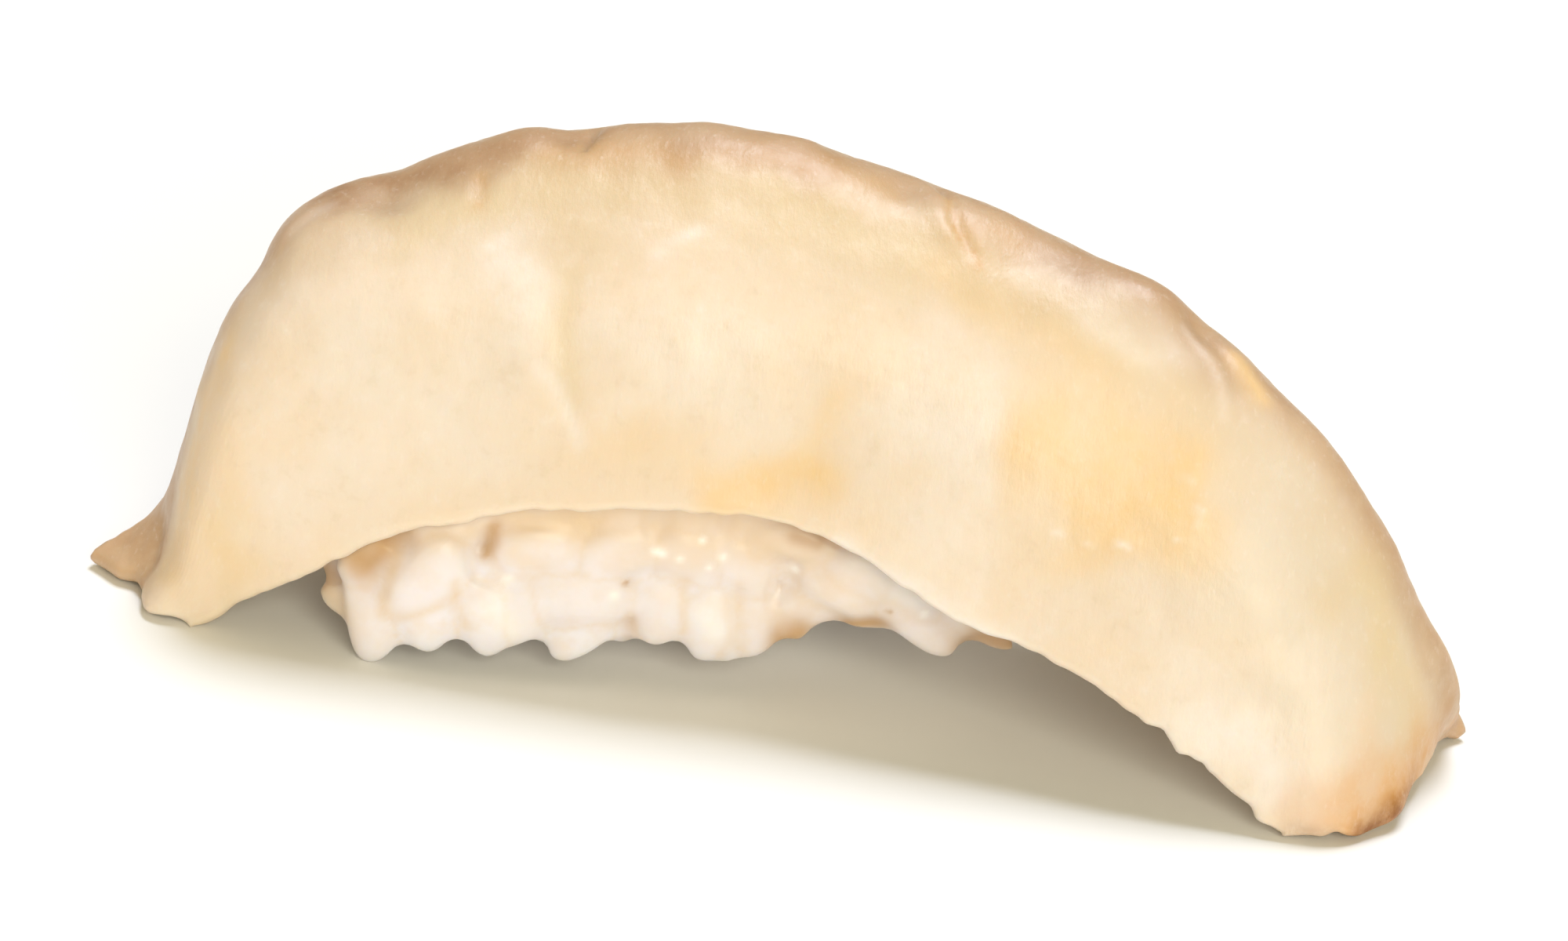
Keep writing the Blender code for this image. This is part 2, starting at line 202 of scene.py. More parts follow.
# Grains close behind those, which close the gaps between them, and how far behind they lie.
BACKING_GRAINS = [
    (-23.0, 4.9, 5.0, 2.8, 50), (-26.2, 4.9, 3.6, 2.4, 20), (-18.9, 5.2, 4.6, 2.8, 95),
    (-13.6, 5.4, 4.6, 2.6, 80), (-9.3, 4.6, 4.6, 2.8, 85), (-5.4, 5.8, 4.6, 2.6, 90),
    (3.6, 6.9, 4.6, 2.4, 10), (6.6, 7.2, 4.6, 2.4, 15), (10.4, 7.4, 4.6, 2.4, 25),
    (-24.6, 8.0, 4.8, 2.6, -20), (-20.4, 8.8, 4.8, 2.6, -10), (12.6, 7.4, 4.0, 2.2, 20),
    (-7.6, 11.3, 5.0, 2.8, 0), (-12.4, 11.0, 5.0, 2.8, 0), (-3.0, 11.2, 5.0, 2.8, 0),
    (-17.0, 9.8, 5.0, 2.8, 0), (-10.6, 5.2, 3.6, 2.6, 60), (-17.6, 7.0, 3.8, 3.0, 80),
]
BACKING_DEPTH = 1.1
# Grains under the slice's edge, at the right, and their depth: they stand a little forward.
FORWARD_GRAINS = [
    (3.4, 7.7, 5.3, 2.9, 20), (0.4, 10.6, 5.0, 2.4, 8), (4.4, 9.0, 5.2, 3.4, 22),
    (7.4, 7.8, 5.2, 3.2, 30), (8.0, 6.1, 6.5, 3.0, 35), (10.4, 6.9, 4.4, 2.4, 30),
]
FORWARD_DEPTH = -0.55
# The rice's right end is open below: no grain lies right of, in front of and under these.
OPEN_CORNER = (-2.5, 2.4, 5.0)
# The line of the front grains: where it starts, its slope, the bend at its left corner, and
# the stretch that they take up.
FRONT_GRAIN_START = (-23.8, -8.0)
FRONT_GRAIN_SLOPE = 0.1
FRONT_CORNER = -22.3
FRONT_CORNER_BEND = 0.17
FRONT_GRAIN_SPAN = (-25.3, 9.7)

# The shape of a grain: its size, its flatness, how far its belly hangs and its weight leans to
# one end at most, where the belly crosses its middle line, how blunt and full its ends are, how
# round its rings are, and the depth, place and reach of the nick at one end.
GRAIN_LENGTH = (4.6, 6.2)
GRAIN_WIDTH = (2.5, 3.1)
GRAIN_FLATNESS = 0.85
GRAIN_BELLY = 0.14
GRAIN_BELLY_REACH = 0.4
GRAIN_LEAN = 0.12
GRAIN_BLUNTNESS = 2.5
GRAIN_FULLNESS = 0.55
GRAIN_ROUNDNESS = 0.9
NICK_DEPTH = 0.25
NICK_PLACE = 0.8
NICK_REACH = 0.16
GRAIN_RINGS = 12
GRAIN_SIDES = 14
SHAPE_SEED = 23

# The grains in the rice's skin: their spacing, the heights of their rows, and how far at most
# they are lifted, slanted and turned.
GRAIN_SPACING = 4.9
GRAIN_ROWS = (1.4, 4.0, 6.8, 9.6, 12.4)
GRAIN_LIFT = 0.8
GRAIN_SLANT = 0.7
GRAIN_SWERVE = 0.4
GRAIN_SEED = 7
SIDE_GRAIN_STOPS = 48

# The fillers between those grains.
FILLER_SPACING = 3.4
FILLER_ROWS = (1.4, 3.6, 5.6, 7.4, 9.2, 11.0, 12.8, 14.6)
FILLER_INSET = 0.6
FILLER_SLANT = math.pi / 2
FILLER_SLIMNESS = 0.8
FRONT_FILLERS_FROM = 6.0
FILLER_SEED = 23

# How far the grains swell before they are fused, and shrink again afterwards.
GRAIN_SWELL = 0.44
FUSE_VOXEL = 0.26
FUSE_SMOOTHING = 4
RELAXING_STEPS = 4
# How much of their relief the front grains keep, and between which X they lose the rest.
FRONT_FLATNESS = 0.62
FLAT_FRONT = (4.0, -2.0)
# The lowest that the slice and the rice reach, and how wide the painted shade along the seam
# between two grains is.
LOWEST = 0.02
SEAM_SHADE_WIDTH = 0.5

# The cut edge: its waves (height, length, seed and number), how deep they reach, the row of
# points that says which way is out, and its bites.
EDGE_WAVES = [(0.22, 7, 11, 10), (0.10, 2.2, 15, 16)]
EDGE_FADE = 2.6
EDGE_ROW = 6
EDGE_BITES = [
    ((21.9, -14.5, 6.1), 0.45, 0.35), ((22.9, -14.7, 5.7), 0.35, -0.40),
    ((24.3, -14.9, 5.1), 0.55, 0.40), ((25.6, -15.2, 4.2), 0.4, -0.30),
    ((-38.6, 2.6, 3.2), 1.6, -0.8), ((33.6, -15.8, 0.6), 0.7, -0.5),
    ((7.8, -11.2, 10.9), 3.6, 0.9), ((11.2, -12.1, 9.7), 2.2, 0.4),
]

# Colours of the meat, of the rice and of the floor, linear.
CREAM = (0.81, 0.69, 0.58)
WARM_CREAM = (0.82, 0.67, 0.525)
# The next colour is painted shade on the upper face, and also the colour of the cut meat and of
# dark specks.
SHADE_AND_CUT_CREAM = (0.70, 0.555, 0.40)
# The next colour is pale meat and painted highlights.
PALE_AND_HIGHLIGHT = (0.87, 0.79, 0.74)
ORANGE = (0.82, 0.57, 0.285)
YELLOW = (0.70, 0.545, 0.32)
# The next colour is painted shade in creases and along the ridge.
OCHRE_SHADE = (0.64, 0.40, 0.19)
DIM_CREAM = (0.71, 0.62, 0.52)
# The next colour is tan skin and painted shade at the top rim and the ends.
SKIN_TAN_AND_SHADE = (0.49, 0.31, 0.18)
BACK_TAN = (0.58, 0.41, 0.245)
# The next colour is darker tan skin and painted shade at the top rim.
DEEP_TAN_AND_SHADE = (0.42, 0.25, 0.14)
AMBER = (0.68, 0.33, 0.08)
BROWN = (0.22, 0.075, 0.012)
RICE_WHITE = (0.85, 0.82, 0.89)
RICE_CLEAR = (0.83, 0.755, 0.755)
# The next two colours are painted shade on the rice: under the slice, along seams and in gaps.
RICE_SHADE_TAN = (0.76, 0.58, 0.38)
RICE_SHADE_BROWN = (0.56, 0.35, 0.18)
# The next colour is painted highlights on the rice, and painted light under the slice's edge.
RICE_PAINTED_HIGHLIGHT = (0.98, 0.96, 0.94)
FLOOR_WHITE = (0.90, 0.90, 0.89)
FLOOR_DIM = (0.882, 0.882, 0.8722)

# The tints of the meat and of the rice by the name of their mask, each laid over the last. Some are
# partly or wholly painted shade (the meat's tan, deep tan, ochre and brown, the rice's tan and
# brown) and some painted highlights (the meat's pale, the rice's white spots).
MEAT_TINTS = {
    "dim": DIM_CREAM, "yellow": YELLOW, "tan_and_shade": SKIN_TAN_AND_SHADE, "tan_edge_and_shade": SKIN_TAN_AND_SHADE, "deep_tan_and_shade": DEEP_TAN_AND_SHADE,
    "orange": ORANGE, "pale_and_highlight": PALE_AND_HIGHLIGHT, "ochre_shade": OCHRE_SHADE, "amber": AMBER,
}
RICE_TINTS = {"tan_and_shade": RICE_SHADE_TAN, "brown_and_shade": RICE_SHADE_BROWN, "painted_highlight": RICE_PAINTED_HIGHLIGHT}

# What is the same all over each material.
MEAT_SHADER = {
    "Subsurface Weight": 0.28, "Subsurface Scale": 1.8 * MM, "Subsurface Radius": (1.0, 0.55, 0.3),
    "IOR": 1.4, "Coat Weight": 0.10, "Coat Roughness": 0.3,
}
RICE_SHADER = {
    "Subsurface Weight": 0.6, "Subsurface Scale": 1.6 * MM, "Subsurface Radius": (1.0, 0.8, 0.55),
    "IOR": 1.38, "Coat Weight": 0.1, "Coat Roughness": 0.2,
}
FLOOR_SHADER = {"Roughness": 0.9, "Specular IOR Level": 0}

# Fine ripples of the skin, counted from the front edge to the back edge, and how far they swerve.
RIPPLES = 52
RIPPLE_SWERVE = 14.0

# Where the cut meat shows: from where to where it fades in towards the rim, from the front edge
# to the back edge (as shares of the way), and from the left and the right end.
CUT_DEPTH = (1.3, 0.5)
CUT_START = (0.55, 0.75)
CUT_LEFT = (-38.5, -36.5)
CUT_RIGHT = (40.0, 38.0)

# Where the skin turns tan and darker, as shares of the way from the front edge to the back edge,
# and along X at both ends: partly its own tan skin, partly painted shade at the top rim where it
# turns away from the light; where the painted shade of the upper face starts; the waves in those
# outlines (height, length and seed); and how tan the back, the left end and the right end are.
RIM_TAN_AND_SHADE_START = (0.39, 0.52)
UPPER_SHADE_START = (0.22, 0.40)
LEFT_END = (-36.2, -39.0)
RIGHT_END = (37.5, 41.0)
BACK_WAVES = (0.03, 14, 31)
LEFT_WAVES = (0.6, 9, 32)
RIGHT_WAVES = (0.8, 8, 33)
TAN_AND_SHADE_SHARES = (0.85, 0.35, 0.25)

# The painted shade of the rice: towards its top, under the slice, and at its right end and its left
# end.
HIGH_RICE = (9.0, 13.0)
HIGH_WAVES = (0.6, 4, 51)
RIGHT_RICE = (2.0, 12.0)
LEFT_RICE = (-25.0, -28.0)
RICE_SHADES = (0.4, 0.15, 0.3)

# Patches of each colour: the points of a path (or one point), reach, and strength.
COLOUR_PATCHES = {
    "orange": [
        ([(-4.4, -9.2, 14.8), (-0.8, -9.1, 15.6), (0.8, -8.9, 16.2)], 1.6, 0.60),
        ([(0.8, -8.9, 16.0), (1.3, -8.4, 18.5), (1.6, -7.7, 21.0)], 1.3, 0.45),
        ([(-1.6, -9.2, 15.0), (0.4, -9.0, 16.4)], 0.9, 0.35),
        ([(-10.0, -8.6, 15.8), (-3.0, -9.2, 15.2)], 2.4, 0.32),
        ([(13.7, -8.6, 20.8), (21.9, -8.6, 20.6)], 3.2, 0.54),
        ([(15.2, -10.0, 18.0), (21.4, -10.2, 18.1)], 3.0, 0.63),
        ([(17.4, -10.9, 16.2), (22.6, -11.0, 16.4)], 1.9, 0.45),
        ([(22.0, -9.2, 20.0), (23.4, -10.4, 17.6)], 1.3, 0.40),
        ([(6.8, -3.2, 27.2), (12.2, -5.4, 25.1), (16.5, -5.9, 24.6)], 1.6, 0.28),
        ([(24.8, -3.6, 24.8), (26.0, -5.4, 23.2)], 0.8, 0.7),
        ([(-34.2, -5.4, 12.5), (-33.8, -6.0, 8.0), (-33.2, -6.4, 5.0)], 2.0, 0.30),
        ([(-34.8, -2.6, 16.6), (-35.4, -3.4, 13.2), (-36.2, -4.0, 8.2), (-36.3, -4.6, 3.6)],
         1.5, 0.65),
        ([(5.0, -10.4, 13.6), (9.0, -11.2, 12.0)], 1.8, 0.25),
        ([(-26.0, -7.6, 8.0), (-14.0, -8.8, 13.0)], 2.2, 0.15),
    ],
    "yellow": [
        ([(33.6, -9.0, 14.4), (35.6, -10.1, 10.7), (36.7, -10.4, 7.9), (37.6, -10.2, 5.3)],
         2.4, 0.6),
        ([(-33.4, -6.2, 7.0), (-33.0, -6.4, 4.0)], 2.0, 0.4),
        ([(-14.9, -4.4, 25.3), (-14.5, -5.9, 23.2), (-14.1, -6.9, 20.8), (-13.8, -7.4, 18.8)],
         0.9, 0.45),
        ([(-25.0, -0.6, 26.0), (-14.0, 1.2, 28.8), (-2.0, 1.0, 29.8), (6.0, -0.6, 29.0)],
         3.0, 0.60),
        ([(-4.5, -2.5, 28.3), (3.0, -3.0, 27.6)], 3.0, 0.25),
        ([(9.4, -2.6, 27.9), (14.0, -4.4, 26.6), (17.4, -4.8, 25.8)], 2.4, 0.60),
    ],
    # Tan skin and painted shade along the top rim, the flap and the right end.
    "tan_edge_and_shade": [
        ([(-23.2, 2.3, 28.0), (-18.0, 4.2, 29.7), (-14.2, 3.4, 30.4), (-10.2, 4.0, 31.1)],
         1.7, 0.65),
        ([(-10.2, 4.0, 31.1), (-3.0, 4.4, 31.2), (2.0, 2.6, 30.6), (4.2, 2.4, 30.4)], 1.2, 0.40),
        ([(-12.3, 1.9, 30.4), (-7.8, 2.7, 31.3), (-2.2, 2.5, 31.2)], 1.5, 0.62),
        ([(8.2, 0.8, 29.8), (10.8, -0.2, 29.1)], 1.4, 0.50),
        ([(41.2, -1.5, 1.6), (40.8, -2.2, 3.4)], 1.4, 0.60),
        ([(12.0, 0.2, 29.1), (17.0, -1.2, 28.0), (22.0, -2.2, 26.5)], 1.8, 0.72),
        ([(-35.0, -1.4, 16.0), (-34.2, -0.8, 18.0), (-32.8, 0.0, 21.0), (-31.0, 0.8, 23.6)],
         2.0, 0.38),
        ([(-29.4, -0.6, 23.2), (-26.5, 0.2, 25.2)], 2.2, 0.22),
        ([(8.6, -2.0, 28.2), (11.5, -3.3, 27.1), (14.5, -3.8, 26.8)], 1.9, 0.22),
        ([(-12.0, 0.6, 29.2), (-8.0, 0.4, 29.9)], 2.0, 0.12),
        ([(25.7, -3.7, 24.2), (30.9, -5.6, 19.9), (36.0, -7.6, 13.4), (38.6, -8.0, 8.8)],
         1.1, 0.35),
        ([(-42.0, 0.2, 1.4), (-40.0, 0.2, 1.9), (-38.8, -0.4, 3.0)], 1.7, 0.40),
    ],
    # Darker tan skin and painted shade at the top rim, the left corner and the left end.
    "deep_tan_and_shade": [
        ([(-20.5, 3.2, 28.8), (-18.0, 3.8, 29.7), (-15.4, 3.4, 30.2)], 1.4, 0.72),
        ([(-28.6, 1.8, 25.9), (-26.5, 2.0, 26.9), (-22.6, 2.9, 28.4)], 1.9, 0.75),
        ([(-29.5, 3.2, 24.8), (-27.2, 3.4, 26.0), (-24.5, 3.4, 27.0)], 1.6, 0.80),
        ([(-9.0, 2.8, 31.3), (-5.0, 2.7, 31.5), (-1.0, 2.6, 31.2)], 1.6, 0.75),
        ([(14.5, -0.8, 28.6), (17.0, -1.6, 28.1), (20.0, -2.8, 27.3)], 1.4, 0.45),
        ([(-34.0, 0.2, 19.4), (-32.0, 1.0, 22.9)], 1.0, 0.4),
        ([(-35.8, -1.4, 15.6), (-34.6, -0.4, 18.4)], 0.9, 0.3),
    ],
    # Pale meat, and painted highlights on ridges and folds, at the tip, along the lower edge and as
    # small glints.
    "pale_and_highlight": [
        ([(-18.8, -3.2, 25.7), (-17.2, -4.8, 24.5), (-17.2, -6.0, 22.4)], 1.4, 0.6),
        ([(-16.6, -6.5, 21.6), (-15.2, -7.2, 19.7), (-13.8, -7.8, 17.7), (-12.7, -8.2, 16.2)],
         0.55, 0.6),
        ([(25.5, -14.3, 6.8), (28.4, -14.8, 5.6), (30.3, -15.5, 3.2)], 2.2, 0.9),
        ([(3.4, -10.1, 12.3), (8.0, -11.3, 10.8), (13.0, -12.2, 8.9)], 0.9, 0.85),
        ([(-9.4, -3.8, 26.7), (-7.5, -2.6, 28.0)], 0.6, 0.45),
        ([(16.0, -4.4, 26.5), (20.2, -5.2, 25.0)], 1.5, 0.45),
        ([(-24.0, -6.0, 17.0)], 6.0, 0.35), ([(-8.0, -6.8, 21.6)], 4.0, 0.45),
        ([(8.0, -10.4, 13.4), (11.0, -11.2, 12.2)], 2.0, 0.5), ([(7.0, -7.2, 22.0)], 3.4, 0.4),
        ([(10.0, -9.8, 16.4), (8.0, -8.6, 19.0)], 3.0, 0.4),
        ([(-31.0, 0.4, 23.6), (-29.4, 1.6, 25.2)], 0.6, 0.22),
        ([(21.3, -3.4, 26.0), (22.3, -4.1, 25.4), (23.6, -5.4, 24.0), (24.2, -7.0, 22.4)],
         0.35, 0.30),
        ([(15.1, -10.9, 15.4), (15.5, -11.0, 15.5)], 0.22, 0.7),
        ([(17.0, -11.2, 15.3), (17.3, -11.2, 15.2)], 0.22, 0.7),
        ([(18.7, -11.3, 15.5), (19.4, -11.3, 15.4)], 0.22, 0.8),
        ([(22.2, -11.2, 16.1)], 0.22, 0.5),
        ([(23.3, -10.3, 17.8), (23.5, -10.4, 17.6)], 0.22, 0.6),
        ([(23.4, -10.8, 17.0)], 0.22, 0.6), ([(22.6, -9.4, 19.3)], 0.22, 0.5),
    ],
    "dim": [
        ([(24.0, -9.0, 19.5), (28.0, -11.0, 15.5), (33.0, -12.6, 8.5)], 5.0, 0.65),
    ],
    "amber": [
        ([(31.4, -16.2, 1.2), (34.0, -15.4, 1.2)], 1.6, 0.24),
        ([(36.4, -14.0, 0.8), (37.2, -12.9, 0.9), (38.4, -10.3, 1.4)], 1.9, 0.88),
        ([(36.6, -13.6, 1.8), (37.4, -12.2, 2.2), (38.2, -10.2, 2.6)], 3.0, 0.50),
        ([(32.8, -15.9, 2.4), (34.8, -15.0, 2.8), (36.6, -13.2, 3.4)], 2.0, 0.34),
        ([(38.0, -10.0, 2.4), (39.4, -6.8, 3.0), (41.0, -2.4, 2.6)], 1.8, 0.36),
    ],
    # Painted shade in creases and along the ridge.
    "ochre_shade": [
        ([(6.6, 2.4, 30.2), (7.4, -0.1, 29.3), (9.0, -2.3, 28.0)], 0.26, 0.9),
        ([(7.4, -0.2, 29.2), (8.8, -2.2, 28.0)], 0.55, 0.45),
        ([(-20.8, 1.3, 28.3), (-20.5, 0.3, 27.9), (-20.5, -0.7, 27.2)], 0.42, 0.65),
        ([(-14.7, 3.8, 30.5), (-14.6, 3.0, 30.3)], 0.4, 0.6),
        ([(-16.5, 2.2, 29.4), (-12.0, 2.0, 30.4), (-2.0, 2.4, 31.2), (3.0, 1.8, 30.5)], 1.5, 0.48),
        ([(8.4, 0.4, 29.5), (11.0, -0.6, 29.0)], 1.3, 0.42),
    ],
    # Brown skin at the tip, and painted shade at the top left rim.
    "brown_and_shade": [
        ([(35.8, -14.8, 0.7), (36.7, -14.1, 0.9), (37.5, -12.8, 0.9), (38.3, -10.6, 0.9)],
         0.95, 0.95),
        ([(-29.0, 3.4, 25.2), (-26.8, 3.5, 26.2)], 1.3, 0.28),
        ([(31.2, -16.2, 0.6), (33.6, -15.8, 0.5)], 0.6, 0.35),
        ([(36.6, -13.8, 1.4), (37.6, -12.0, 1.5), (38.4, -10.2, 1.8)], 1.4, 0.34),
    ],
}

# How far the outlines of those patches wander, as a share of their reach, in waves how long.
PATCH_WANDER = 0.4
PATCH_WAVES = 4.5
PATCH_SEEDS = (61, 62, 63)

# Where the skin is pulled: middle, reach, and how far.
NUDGES = [
    ((-37.2, -4.4, 0.6), 1.8, (-1.1, -0.6, 0.0)), ((-36.2, -4.8, 0.5), 1.4, (-0.3, -0.8, 0.0)),
    ((40.6, -2.4, 3.4), 1.6, (0.45, -0.1, 0.0)), ((38.6, -7.6, 0.8), 2.6, (0.5, -0.3, 0.0)),
    ((-40.4, -1.5, 0.7), 1.1, (-0.1, -0.7, 0.0)), ((40.4, -3.6, 5.8), 2.2, (0.35, -0.1, 0.0)),
    ((37.0, -11.8, 0.9), 2.3, (0.75, -0.85, 0.0)),
]

# Gaps in the rice: middle, reach, and depth.
RICE_GAPS = [
    ((-17.4, -7.0, 8.8), 0.6, 0.12), ((-24.3, -8.2, 6.8), 1.1, 0.5), ((-9.3, -6.6, 6.8), 0.3, 0.4),
    ((-23.2, -7.8, 5.0), 0.5, 0.3), ((-19.1, -8.1, 5.4), 0.5, 0.3), ((-8.7, -5.5, 3.4), 0.6, 0.4),
    ((-2.6, -6.5, 7.0), 0.6, 0.25), ((5.4, -5.4, 5.9), 0.8, 0.2),
]
# Coloured parts of the rice, painted shade and painted highlights: the points of a path (or one
# point), reach, and strength.
RICE_PATCHES = {
    # Painted shade under the slice's edge and along the seams between grains.
    "tan_and_shade": [
        ([(-26.5, -7.0, 6.2), (-23.8, -7.2, 7.9), (-20.6, -7.6, 9.3), (-16.5, -7.2, 10.4),
          (-12.0, -6.6, 11.1)], 1.4, 0.62),
        ([(-12.0, -6.6, 11.1), (-7.4, -5.7, 11.4), (-2.7, -6.2, 11.4), (2.0, -6.4, 10.6)],
         2.0, 0.6),
        ([(2.0, -7.0, 10.6), (4.9, -7.0, 9.4), (8.4, -7.0, 8.0), (12.4, -6.6, 6.4)], 2.2, 0.05),
        ([(-9.0, -6.8, 9.0), (-2.0, -6.4, 9.6)], 1.6, 0.25),
        ([(0.0, -5.8, 6.6), (4.0, -5.6, 7.6)], 2.2, 0.30),
        ([(-27.0, -5.8, 3.4), (-26.2, -6.4, 3.0)], 1.2, 0.7),
        ([(-23.0, -7.6, 7.4), (-23.0, -7.9, 6.0), (-23.5, -7.8, 3.8)], 0.38, 0.5),
        ([(-23.5, -7.8, 3.5), (-21.9, -8.3, 3.9), (-20.8, -8.3, 4.3), (-19.5, -8.1, 5.3)],
         0.38, 0.3),
        ([(-19.2, -8.1, 6.3), (-18.9, -8.0, 4.8), (-18.4, -7.9, 3.6)], 0.40, 0.42),
        ([(-5.8, -6.6, 7.4), (-5.5, -6.7, 4.2)], 0.36, 0.28),
        ([(-2.6, -6.5, 7.5), (-2.3, -6.5, 5.2), (-1.9, -6.2, 3.4)], 0.36, 0.22),
        ([(-16.0, -7.4, 8.2), (-14.4, -7.4, 7.4)], 0.8, 0.45),
        ([(-15.5, -7.6, 9.8), (-12.5, -7.4, 10.0)], 1.3, 0.45),
    ],
    # Painted shade in the gaps between grains and under the slice's edge.
    "brown_and_shade": [
        ([(-25.2, -7.6, 6.9), (-24.5, -7.8, 6.3), (-23.8, -7.7, 7.0)], 1.15, 0.95),
        ([(-24.6, -7.8, 7.6), (-23.0, -7.5, 8.0), (-22.2, -7.5, 8.4)], 0.7, 0.55),
        ([(-17.5, -6.9, 9.7), (-17.4, -7.0, 8.7), (-17.5, -7.1, 8.0)], 0.50, 0.9),
        ([(-8.9, -6.0, 4.4), (-8.6, -5.0, 2.8)], 0.45, 0.5), ([(-9.3, -6.6, 6.8)], 0.22, 0.8),
        ([(6.3, -6.4, 7.0)], 0.20, 0.8),
        ([(0.2, -5.8, 4.2), (1.2, -5.8, 4.8)], 1.0, 0.92),
        ([(4.4, -5.4, 5.6), (5.6, -5.3, 5.6)], 0.95, 0.95),
        ([(11.6, -5.3, 5.6), (12.8, -5.2, 5.0), (14.2, -4.9, 4.6)], 1.3, 0.85),
        ([(0.4, -6.5, 11.3), (1.6, -6.6, 11.0)], 0.5, 0.6),
        ([(-27.6, -5.4, 3.9), (-27.2, -5.4, 4.6)], 0.6, 0.8),
    ],
    # Painted highlights, and painted light on the grains under the slice's edge at the right.
    "painted_highlight": [
        ([(-7.7, -6.8, 9.3), (-7.3, -6.9, 9.2)], 0.28, 0.9), ([(-5.1, -6.5, 10.2)], 0.22, 0.8),
        ([(-3.9, -6.5, 9.2)], 0.28, 0.8), ([(-6.3, -6.9, 9.0)], 0.22, 0.7),
        ([(0.5, -5.8, 8.7)], 0.25, 0.7), ([(8.4, -6.5, 7.0)], 0.24, 1.0),
        ([(4.8, -6.6, 10.0), (8.8, -6.4, 8.1), (10.6, -6.2, 7.1)], 1.1, 0.50),
        ([(-16.3, -7.3, 6.5)], 0.35, 0.7), ([(-9.9, -7.2, 6.1)], 0.30, 0.7),
        ([(-4.6, -6.7, 8.5)], 0.20, 0.7), ([(-4.2, -6.9, 5.6), (-4.0, -6.9, 4.2)], 0.9, 0.4),
        ([(-17.0, -8.0, 4.6), (-15.8, -7.9, 3.4)], 0.8, 0.4),
    ],
}

# How much being in front of or behind such a patch counts, against being beside it.
RICE_DEPTH_SHARE = 0.25

# The surround, and the distant lights: azimuth, elevation, spread, strength and colour.
WORLD_COLOUR = (1.0, 0.87, 0.50)
WORLD_STRENGTH = 0.26
SUNS = [
    ("front", 18, 25, 35, 1.89, (0.97, 0.93, 0.75)),
    ("left", -75, 20, 60, 0.36, (1.0, 0.84, 0.70)),
    ("back", 160, 72, 28, 2.75, (0.85, 0.89, 1.0)),
]
FLOOR_SIZE = 2400


def smooth_line(points, at):
    """Points of a Catmull-Rom curve through points, where at runs from 0 to len(points) - 1."""
    points = np.asarray(points, float)
    first = 2 * points[0] - points[1]
    last = 2 * points[-1] - points[-2]
    padded = np.concatenate([first[None], points, last[None]])
    index = np.clip(np.floor(at).astype(int), 0, len(points) - 2)
    t = (at - index).reshape((-1,) + (1,) * (points.ndim - 1))
    p0, p1, p2, p3 = (padded[index + k] for k in range(4))
    return 0.5 * (
        2 * p1
        + (p2 - p0) * t
        + (2 * p0 - 5 * p1 + 4 * p2 - p3) * t**2
        + (3 * p1 - p0 - 3 * p2 + p3) * t**3
    )


def smooth_step(low, high, value):
    """0 up to low, 1 from high, and a smooth rise between them."""
    t = np.clip((value - low) / (high - low), 0, 1)
    return t * t * (3 - 2 * t)


def waves(points, length, seed, count=10):
    """A smooth random field between about -1 and 1, whose waves have the given length."""
    chance = np.random.default_rng(seed)
    total = np.zeros(points.shape[:-1])
    for _ in range(count):
        way = chance.normal(size=3)
        way *= 2 * math.pi / length / np.linalg.norm(way) * chance.uniform(*WAVE_SPREAD)
        total += np.sin(points @ way + chance.uniform(0, 2 * math.pi))
    return total / math.sqrt(count / 2) / 2


def wavy(values, points, height, length, seed):
    """The values at the points, made to wander in waves."""
    return values + height * waves(points, length, seed)


def strongest(fields, shares):
    """At each point the strongest of some fields, each of them times its share."""
    return np.max([share * field for field, share in zip(fields, shares)], axis=0)


def path_distance(points, path):
    """For each point, its distance from a path and how far along the path it lies, 0 to 1."""
    path = np.asarray(path, float)
    nearest = np.full(points.shape[:-1], np.inf)
    along = np.zeros(points.shape[:-1])
    for k, (start, end) in enumerate(zip(path, path[1:])):
        step = end - start
        share = np.clip(((points - start) @ step) / max(step @ step, 1e-9), 0, 1)
        distance = np.linalg.norm(points - start - share[..., None] * step, axis=-1)
        closer = distance < nearest
        nearest = np.where(closer, distance, nearest)
        along = np.where(closer, (k + share) / (len(path) - 1), along)
    return nearest, along


def spot(points, middle, reach):
    """1 at middle, fading to 0 over about twice the reach."""
    distance = np.linalg.norm(points - np.asarray(middle, float), axis=-1)
    return np.exp(-((distance / reach) ** 2))


def patched(points, patches, depth_share=1):
    """The share of one colour at each point, from its patches, whose outlines wander a little.

    The share of depth says how much being in front of a patch or behind it counts.
    """
    squash = np.array([1, depth_share, 1])
    bare = np.ones(len(points))
    way = np.stack([waves(points, PATCH_WAVES, seed) for seed in PATCH_SEEDS], -1)
    for path, reach, strength in patches:
        wandering = (points + PATCH_WANDER * reach * way) * squash
        path = np.array(path if len(path) > 1 else path * 2) * squash
        distance = path_distance(wandering, path)[0]
        bare *= 1 - strength * np.exp(-((distance / reach) ** 2))
    return 1 - bare


def slice_skin(columns, rows):
    """The plain outer skin of the slice as a grid of points, [column][row]."""
    stations, rails = RAILS.shape[1] - 1, RAILS.shape[0] - 1
    along = np.linspace(RIM_INSET_ALONG, stations - RIM_INSET_ALONG, columns)
    across = np.linspace(RIM_INSET_ACROSS, rails - RIM_INSET_ACROSS, rows)
    lines = smooth_line(RAILS.transpose(1, 0, 2), along)
    return smooth_line(lines.transpose(1, 0, 2), across).transpose(1, 0, 2)


def grid_normals(grid):
    """Outward unit normals of a grid that runs left to right and front to back."""
    normals = np.cross(np.gradient(grid, axis=0), np.gradient(grid, axis=1))
    return normals / np.linalg.norm(normals, axis=2, keepdims=True)


